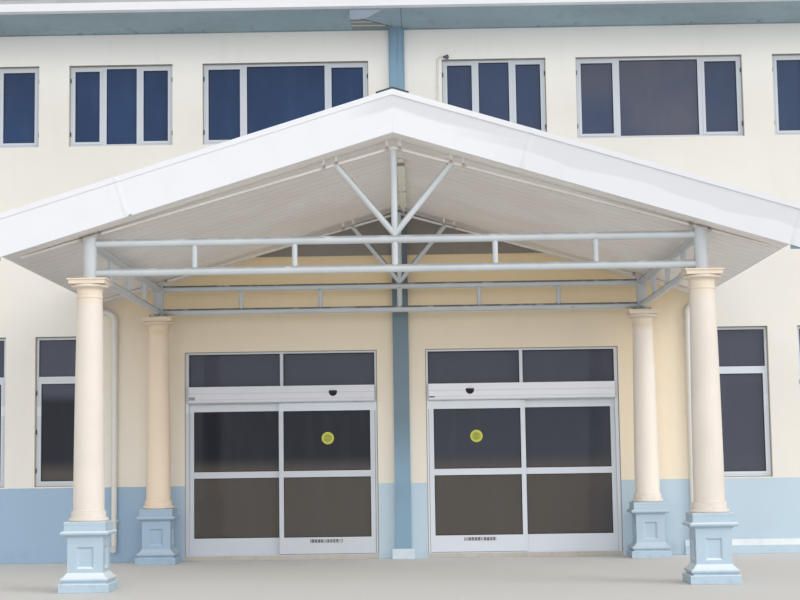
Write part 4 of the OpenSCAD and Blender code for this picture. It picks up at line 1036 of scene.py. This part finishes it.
class ENTRANCE_OT_welds(bpy.types.Operator):
    """Weld beads where the tubes of the trusses and side beams meet"""

    bl_idname = "entrance.welds"
    bl_label = "Weld beads"

    def execute(self, context):
        bead = context.scene.entrance_sizes.weld

        def strut(x, y, chord, radius):
            """Beads at both ends of a strut between the chords."""
            return [weld((x, y, z), bar, chord, radius, CHORD_R, bead)
                    for z, bar in zip(CHORD_Z, (UP, DOWN))]

        forms = []
        for y in TRUSS_Y:
            for i in range(-2, 3):
                forms += strut(i * STRUT_PITCH, y, RIGHT, STRUT_R if i else BRACE_R)
            forms.append(weld((0, y, CHORD_Z[1]), UP, RIGHT, BRACE_R, CHORD_R, bead))
            for z in CHORD_Z:
                forms += both([weld((POST_X, y, z), (-1, 0, 0), UP, CHORD_R, POST_R, bead)])
        make_piece("truss_welds", forms, "rusty_beads")
        forms = []
        for y in np.linspace(*TRUSS_Y, SIDE_STRUTS + 2)[1:-1]:
            forms += strut(POST_X, y, IN, STRUT_R)
        for z in CHORD_Z:
            for y, bar in zip(TRUSS_Y, (IN, OUT)):
                forms.append(weld((POST_X, y, z), bar, UP, CHORD_R, POST_R, bead))
        make_piece("side_beam_welds", both(forms), "rusty_beads")
        return {"FINISHED"}


class ENTRANCE_OT_bolts(bpy.types.Operator):
    """Bolts of the base plates under the rear posts and of the rafter cleats"""

    bl_idname = "entrance.bolts"
    bl_label = "Bolts"

    def execute(self, context):
        size = context.scene.entrance_sizes.bolt
        plate_h, reach, chord_face = 0.016, 0.098, 0.026
        places = [((low[0] + high[0]) / 2 + x, (low[1] + high[1]) / 2 + y, low[2] + plate_h)
                  for low, high in solids("posts") if high[1] > -1
                  for x in (-reach, reach) for y in (-reach, reach)]
        thread, tall = size * 0.5, size * 2.6
        stub = lathe([(0, 0), (thread, 0), (thread, size * 2.4), (size * 0.4, tall), (0, tall)], sides=10)
        make_piece("anchor_bolts", [joined([bolt(size, size * 1.3), stub]).at(places)], "fixings")
        head = bolt(size * 0.65, size * 0.9, 1.5).turned(OUTWARD)
        middle = SOFFIT_TOP - RAFTER_GAP - RAFTER_H / 2
        places = [(side * x, y - chord_face, middle - RAFTER_FALL * x)
                  for side in (-1, 1) for y in TRUSS_Y for x in CLEATS]
        make_piece("cleat_bolts", [head.at(places)], "fixings")
        return {"FINISHED"}


def slope_axes(side):
    """Axes down the slope, into the building and square to the slope, on that side of the ridge."""
    return ((side * math.cos(SLOPE), 0, -math.sin(SLOPE)), IN,
            (side * math.sin(SLOPE), 0, math.cos(SLOPE)))


class ENTRANCE_OT_fascia_joints(bpy.types.Operator):
    """Laps of the fascia sheets with their rivets, and the strip over the joint at the ridge"""

    bl_idname = "entrance.fascia_joints"
    bl_label = "Fascia joints"

    def execute(self, context):
        half, thick, back = context.scene.entrance_sizes.lap / 2, 0.0016, 0.0005
        face_h = (FASCIA_TOP - FASCIA_CAP + 0.006) * math.cos(SLOPE)
        cap_h = FASCIA_CAP * math.cos(SLOPE)
        lap = pad((-half, -thick, 0.001), (half, back, face_h), 0.0007)
        sleeve = pad((-half, FASCIA_LOW[1] - FASCIA_FACE - thick, face_h),
                     (half, back, face_h + cap_h + 0.001), 0.0007)
        rivet = lathe([(0, 0.0035), (0.0035, 0.003), (0.006, 0.0016), (0.0065, 0)], ORIGIN, OUT, 10)
        rows = [(x, -0.0014, z) for x in (-half / 1.5, half / 1.5)
                for z in np.linspace(0.04, face_h - 0.04, 4)]
        seam = joined([lap, sleeve, rivet.at(rows)])
        # Side of the ridge and distance from it of the middle of each lap
        laps = [seam.turned(slope_axes(side), (side * x, FASCIA_FACE, SOFFIT_TOP - FALL * x - 0.006))
                for side, x in ((-1, 2.87), (1, 1.385), (1, 4.26))]
        make_piece("fascia_laps", laps, "white_sheet")
        ridge = pad((-0.006, FASCIA_FACE - 0.0012, SOFFIT_TOP - 0.004),
                    (0.006, FASCIA_FACE + back, SOFFIT_TOP + FASCIA_TOP - FASCIA_CAP), 0.0005)
        make_piece("fascia_ridge_joint", [ridge], "white_sheet")
        return {"FINISHED"}


class ENTRANCE_OT_roof_fixings(bpy.types.Operator):
    """Screws on the roof ribs, the laps and screws of the ridge capping, and the ribs of the
    building's roof"""

    bl_idname = "entrance.roof_fixings"
    bl_label = "Roof fixings"

    def execute(self, context):
        sizes = context.scene.entrance_sizes
        screw = bolt(sizes.screw * 0.6, sizes.screw * 0.8).turned(slope_axes(1))
        sunk = 0.0005
        purlins = (0.35, 1.2, 2.1, 3.0, 3.9)
        x, y = np.meshgrid(purlins, np.arange(RIB_FIRST, -0.02, RIB_PITCH))
        places = np.stack([x, y, SOFFIT_TOP + FASCIA_TOP - FALL * x - sunk], axis=-1).reshape(-1, 3)
        make_piece("roof_screws", both([screw.at(places)]), "fixings")
        low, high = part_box("ridge_cap")
        wing, crown, half = high[0] + 0.001, high[2], sizes.lap / 2
        path = [(x, 0, crown - FALL * abs(x)) for x in (wing, 0, -wing)]
        strip = carried(band(-sunk, 0.0012, half), path, IN).at([(0, -3.7, 0), (0, -1.9, 0)])
        nose = carried(band(-sunk, 0.01, half), path, IN).at((0, low[1] + half + sunk, 0))
        make_piece("ridge_cap_laps", [strip, nose], "ridge_cap")
        beside = high[0] - 0.03
        places = [(beside, y, crown - FALL * beside - sunk) for y in np.arange(low[1] + 0.12, -0.1, 0.45)]
        make_piece("ridge_cap_screws", both([screw.at(places)]), "fixings")
        low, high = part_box("eave_roof")
        rise, rib_pitch = math.tan(math.radians(15)), 0.3
        path = [(0, y, high[2] - (high[1] - y) * rise) for y in (low[1] + 0.01, high[1] - 0.12)]
        rib = carried([(-0.002, -0.03), (0.022, -0.012), (0.022, 0.012), (-0.002, 0.03)], path, RIGHT)
        ribs = rib.at([(x, 0, 0) for x in np.arange(low[0] + 0.08, high[0] - 0.05, rib_pitch)])
        make_piece("eave_roof_ribs", [ribs], "roof_sheet")
        return {"FINISHED"}


class ENTRANCE_OT_gutter_fittings(bpy.types.Operator):
    """Sleeves at the joints of all gutters and straps across the canopy gutters"""

    bl_idname = "entrance.gutter_fittings"
    bl_label = "Gutter fittings"

    def execute(self, context):
        profile = band(0, 0.0016, context.scene.entrance_sizes.lap / 2)
        canopy_depth, eave_depth, strap_pitch = 0.11, 0.119, 0.8
        low, high = solids("canopy_gutters")[1]
        strap = pad((low[0], -0.012, high[2] + 0.0005), (high[0] + 0.002, 0.012, high[2] + 0.0035))
        straps = strap.at([(0, y, 0) for y in np.arange(low[1] + 0.3, high[1], strap_pitch)])
        make_piece("canopy_gutter_straps", both([straps]), "gutter_blue")
        foot = high[2] - canopy_depth
        path = [(high[0], 0, high[2]), (high[0], 0, foot), (low[0], 0, foot)]
        sleeve = carried(profile, path, IN).at([(0, -3.6, 0), (0, -1.8, 0)])
        make_piece("canopy_gutter_sleeves", both([sleeve]), "gutter_blue")
        low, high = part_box("eave_gutter")
        path = [(0, high[1], low[2]), (0, low[1], low[2]), (0, low[1], low[2] + eave_depth)]
        joint, pitch = -3.445, 2.93
        sleeve = carried(profile, path, RIGHT).at([(joint + k * pitch, 0, 0) for k in range(-1, 4)])
        make_piece("eave_gutter_sleeves", [sleeve], "eave_gutter")
        return {"FINISHED"}


class ENTRANCE_OT_pipe_collars(bpy.types.Operator):
    """Split collars that hold the downpipes in their clips"""

    bl_idname = "entrance.pipe_collars"
    bl_label = "Pipe collars"

    def execute(self, context):
        pipe_x, pipe_y, pipe_r, half = 4.02, -0.065, 0.04, 0.015
        inner, outer = pipe_r + 0.0002, pipe_r + 0.0022
        ring = [(inner, -half), (outer, -half), (outer + 0.0004, 0), (outer, half), (inner, half)]
        lug = pad((-pipe_r - 0.02, -0.005, -half), (-pipe_r, 0.005, half))
        screw = bolt(0.004, 0.004).turned(OUTWARD, (-pipe_r - 0.011, -0.005, 0))
        collar = joined([lathe(ring, sides=32, closed=True), lug, screw])
        middles = [(pipe_x, pipe_y, z + half) for z in (0.5575, 1.9632, 3.0944)]
        make_piece("pipe_collars", both([collar.at(middles)]), "pipe_white")
        return {"FINISHED"}


class ENTRANCE_OT_eave_joints(bpy.types.Operator):
    """Joints of the building's eave soffit, with the sheet that hangs loose by the pilaster"""

    bl_idname = "entrance.eave_joints"
    bl_label = "Eave joints"

    def execute(self, context):
        low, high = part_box("eave_soffit")
        z = low[2]
        first, pitch, beside = 0.078, 1.22, 0.111
        strip = pad((-0.003, low[1] + 0.002, z - 0.002), (0.003, -0.001, z + 0.0005))
        places = [(first + k * pitch, 0, 0) for k in range(-6, 6) if k != 0]
        make_piece("eave_soffit_joints", [strip.at(places)], "eave_board")
        make_piece("eave_open_joint", [strip.at((first, 0, 0))], "rubber")
        trims = [pad((x0, -0.016, z - 0.012), (x1, -0.0005, z - 0.0005), 0.002)
                 for x0, x1 in ((low[0], -beside), (beside, high[0]))]
        make_piece("eave_wall_trim", trims, "eave_board")
        # Outline of the open stretch behind the loose sheet
        gap = plate([(-0.638, -0.58), (-0.5, -0.62), (-0.042, -0.154), (-0.159, -0.02), (-0.631, -0.02)],
                    z - 0.0015, z + 0.0005)
        make_piece("eave_open_stretch", [gap], "void")
        battens = [pad((-0.63, y - 0.012, z - 0.006), (x, y + 0.012, z - 0.001), 0.002)
                   for y, x in ((-0.43, -0.33), (-0.24, -0.15))]
        make_piece("eave_battens", battens, "conduit")
        # Painted shadow: a dark strip along the edge of the open stretch, for the gap's shadow.
        edge = carried([(-0.004, 0), (0.004, 0), (0.004, 0.004), (-0.004, 0.004)],
                       [(-0.56, -0.66, z - 0.001), (-0.042, -0.15, z - 0.001)], DOWN)
        make_piece("eave_gap_shadow_edge", [edge], "rubber")
        # The loose sheet, from its front edge to its sagging back edge
        share = np.linspace(0, 1, 9)[:, None]
        sag = np.sin(share * math.pi) * (0, 0, -0.008)
        front = (-0.625, -1.05, z - 0.002) + share * (0.44, 0.02, 0)
        back = (-0.636, -0.80, z - 0.062) + share * (0.23, -0.02, 0.004) + sag
        middle = (front + back) / 2 + sag
        thick = (0, 0, 0.004)
        section = np.stack([front, middle, back, back - thick, middle - thick, front - thick], axis=1)
        make_piece("eave_loose_sheet", [surface(section, capped=True)], "torn_sheet")
        return {"FINISHED"}


class ENTRANCE_OT_conduit(bpy.types.Operator):
    """Conduit that rises on the wall beside the pilaster, with its clips and small lamp head"""

    bl_idname = "entrance.conduit"
    bl_label = "Conduit"

    def execute(self, context):
        r = context.scene.entrance_sizes.conduit
        x, y, low, top, bend = 0.585, -r - 0.003, 5.12, 7.03, 0.06
        end = (x + bend + 0.03, y, top + bend)
        curve = arc(bend, 180, 90, 10)
        curve = np.column_stack([x + bend + curve[:, 0], np.full(10, y), top + curve[:, 1]])
        pipe = carried(circle(r, 12), np.vstack([[x, y, low], curve, end]), IN)
        make_piece("wall_conduit", [pipe], "conduit")
        wing, reach, wall_y = 0.028, r + 0.002, -0.0005
        path = [(x - wing, wall_y, 0), (x - reach, wall_y, 0), (x - reach, y - r, 0),
                (x + reach, y - r, 0), (x + reach, wall_y, 0), (x + wing, wall_y, 0)]
        clips = carried(band(0, 0.0015, 0.006), path, UP).at([(0, 0, z) for z in (5.45, 6.05, 6.65)])
        make_piece("conduit_clips", [clips], "conduit")
        profile = [(0, -0.01), (0.014, -0.01), (0.016, 0.0), (0.018, 0.02), (0.032, 0.045),
                   (0.034, 0.062), (0.03, 0.066), (0, 0.06)]
        head = lathe(profile, (end[0], y - 0.004, end[2]), (0.82, -0.5, -0.15), 24)
        make_piece("conduit_lamp", [head], "label")
        return {"FINISHED"}


class ENTRANCE_OT_light_trim(bpy.types.Operator):
    """Ends, flutes and clips of the light fittings beside the ridge"""

    bl_idname = "entrance.light_trim"
    bl_label = "Light trim"

    def execute(self, context):
        ends, flutes, clips = [], [], []
        cap, proud, half, thick = 0.012, 0.0015, 0.0012, 0.003
        for low, high in solids("ridge_light"):
            middle = (low[2] + high[2]) / 2
            for y in (low[1], high[1] - cap):
                ends.append(pad((low[0] - proud, y - 0.001, low[2] - proud),
                                (high[0] + proud, y + cap + 0.001, middle + 0.002), 0.006))
            for x in np.linspace(low[0] + 0.022, high[0] - 0.022, 7):
                flutes.append(pad((x - half, low[1] + 0.02, low[2] - half),
                                  (x + half, high[1] - 0.02, low[2] + 0.001)))
            for y in np.linspace(low[1] + 0.25, high[1] - 0.25, 3):
                for x in (low[0] - thick, high[0]):
                    clips.append(pad((x, y - cap, middle - 0.022), (x + thick, y + cap, middle + 0.006)))
        for name, forms, finish in (("ends", ends, "plate"), ("flutes", flutes, "light_diffuser"),
                                    ("clips", clips, "fixings")):
            make_piece(f"light_{name}", forms, finish)
        return {"FINISHED"}


def camera_turn(stage):
    """Rotation whose columns are right, up and back: the view direction from
    pitch and yaw, then turned about itself by the roll."""
    pitch, yaw, roll = stage.camera_pitch, stage.camera_yaw, stage.camera_roll
    ahead = np.array([math.sin(yaw) * math.cos(pitch), math.cos(yaw) * math.cos(pitch), math.sin(pitch)])
    level = np.array([math.cos(yaw), -math.sin(yaw), 0])
    rise = np.cross(level, ahead)
    right = level * math.cos(roll) + rise * math.sin(roll)
    up = rise * math.cos(roll) - level * math.sin(roll)
    return np.stack([right, up, -ahead], axis=1)


def place_camera(scene, stage):
    """Camera at the photograph's viewing angle."""
    camera = bpy.data.objects.new("camera", bpy.data.cameras.new("camera"))
    scene.collection.objects.link(camera)
    camera.data.lens = stage.focal_length
    camera.data.sensor_width = 36
    camera.data.clip_end = 400
    matrix = np.eye(4)
    matrix[:3, :3] = camera_turn(stage)
    matrix[:3, 3] = stage.camera_place
    camera.matrix_world = Matrix(matrix.tolist())
    scene.camera = camera


def place_lamp(scene, name, strength, height, side, softness, mirrored):
    """Far lamp that shines into the building, so high and so far to the right. Gloss
    shows it only where it is mirrored."""
    lamp = bpy.data.objects.new(name, bpy.data.lights.new(name, "SUN"))
    scene.collection.objects.link(lamp)
    lamp.data.energy = strength
    lamp.data.angle = math.radians(softness)
    lamp.visible_glossy = mirrored
    lamp.rotation_euler = (math.pi / 2 - height, 0, side)


def lay_floor(scene, stage):
    """Wide pale floor just under the feet, a little mottled."""
    reach, drop = 150.0, 0.002
    mesh = bpy.data.meshes.new("floor")
    corners = floats([(-1, -1, 0), (1, -1, 0), (1, 1, 0), (-1, 1, 0)]) * reach - (0, 0, drop)
    mesh.from_pydata(corners.tolist(), [], [(0, 1, 2, 3)])
    floor = bpy.data.objects.new("floor", mesh)
    scene.collection.objects.link(floor)
    f = Finish("floor", stage.floor_colour)
    f.base = f.mix(f.noise(0.6), shaded(f.rgb, 0.97), f.rgb)
    mesh.materials.append(f.done(0.8))


def light_surroundings(scene, strength):
    """Even light from all around, seen as white by the camera, by gloss and through glass."""
    world = bpy.data.worlds.new("surroundings")
    scene.world = world
    world.use_nodes = True
    n = Nodes(world.node_tree)
    rays = n.node("ShaderNodeLightPath")
    camera, gloss, through = (Num(n, rays.outputs[f"Is {kind} Ray"])
                              for kind in ("Camera", "Glossy", "Transmission"))
    seen = camera.most(gloss).most(through)
    plain = n.node("ShaderNodeBackground", {}, {"Strength": strength})
    white = n.node("ShaderNodeBackground", {}, {"Strength": 1.0})
    mixed = n.node("ShaderNodeMixShader", {}, {0: seen, 1: plain.outputs[0], 2: white.outputs[0]})
    n.node("ShaderNodeOutputWorld", {}, {0: mixed.outputs[0]})


class ENTRANCE_OT_stage(bpy.types.Operator):
    """Set the camera, the lamps, the floor and the pale surroundings"""

    bl_idname = "entrance.stage"
    bl_label = "Stage"

    def execute(self, context):
        scene, stage = context.scene, context.scene.entrance_stage
        place_camera(scene, stage)
        scene.view_settings.view_transform = "Standard"
        place_lamp(scene, "key", stage.key_strength, stage.key_height, stage.key_side, 40, True)
        place_lamp(scene, "fill", stage.fill_strength, stage.fill_height, 0.0, 45, False)
        lay_floor(scene, stage)
        light_surroundings(scene, stage.sky_strength)
        return {"FINISHED"}


class ENTRANCE_PT_panel(bpy.types.Panel):
    """Lists the steps that dress the entrance"""

    bl_idname = "ENTRANCE_PT_panel"
    bl_label = "Entrance front"
    bl_space_type = "VIEW_3D"
    bl_region_type = "UI"
    bl_category = "Entrance"

    def draw(self, context):
        for step in STEPS:
            self.layout.operator(step.bl_idname)


STEPS = (
    ENTRANCE_OT_finishes, ENTRANCE_OT_gaskets, ENTRANCE_OT_frame_joints, ENTRANCE_OT_window_hinges,
    ENTRANCE_OT_door_seals, ENTRANCE_OT_door_labels, ENTRANCE_OT_welds, ENTRANCE_OT_bolts,
    ENTRANCE_OT_fascia_joints, ENTRANCE_OT_roof_fixings, ENTRANCE_OT_gutter_fittings,
    ENTRANCE_OT_pipe_collars, ENTRANCE_OT_eave_joints, ENTRANCE_OT_conduit, ENTRANCE_OT_light_trim,
    ENTRANCE_OT_stage,
)
SETTINGS = {
    "entrance_colours": EntranceColours,
    "entrance_sizes": EntranceSizes,
    "entrance_stage": EntranceStage,
}
CLASSES = (*SETTINGS.values(), *STEPS, ENTRANCE_PT_panel)


def register():
    """Registers the settings, the operators and the panel."""
    for item in CLASSES:
        bpy.utils.register_class(item)
    for name, group in SETTINGS.items():
        setattr(bpy.types.Scene, name, bpy.props.PointerProperty(type=group))


def unregister():
    """Takes them off again."""
    for name in SETTINGS:
        delattr(bpy.types.Scene, name)
    for item in reversed(CLASSES):
        bpy.utils.unregister_class(item)


def run(step):
    """Calls one operator by its name."""
    group, name = step.bl_idname.split(".")
    getattr(getattr(bpy.ops, group), name)()


def main():
    """Runs every step in order."""
    register()
    for step in STEPS:
        run(step)


if __name__ == "__main__":
    main()
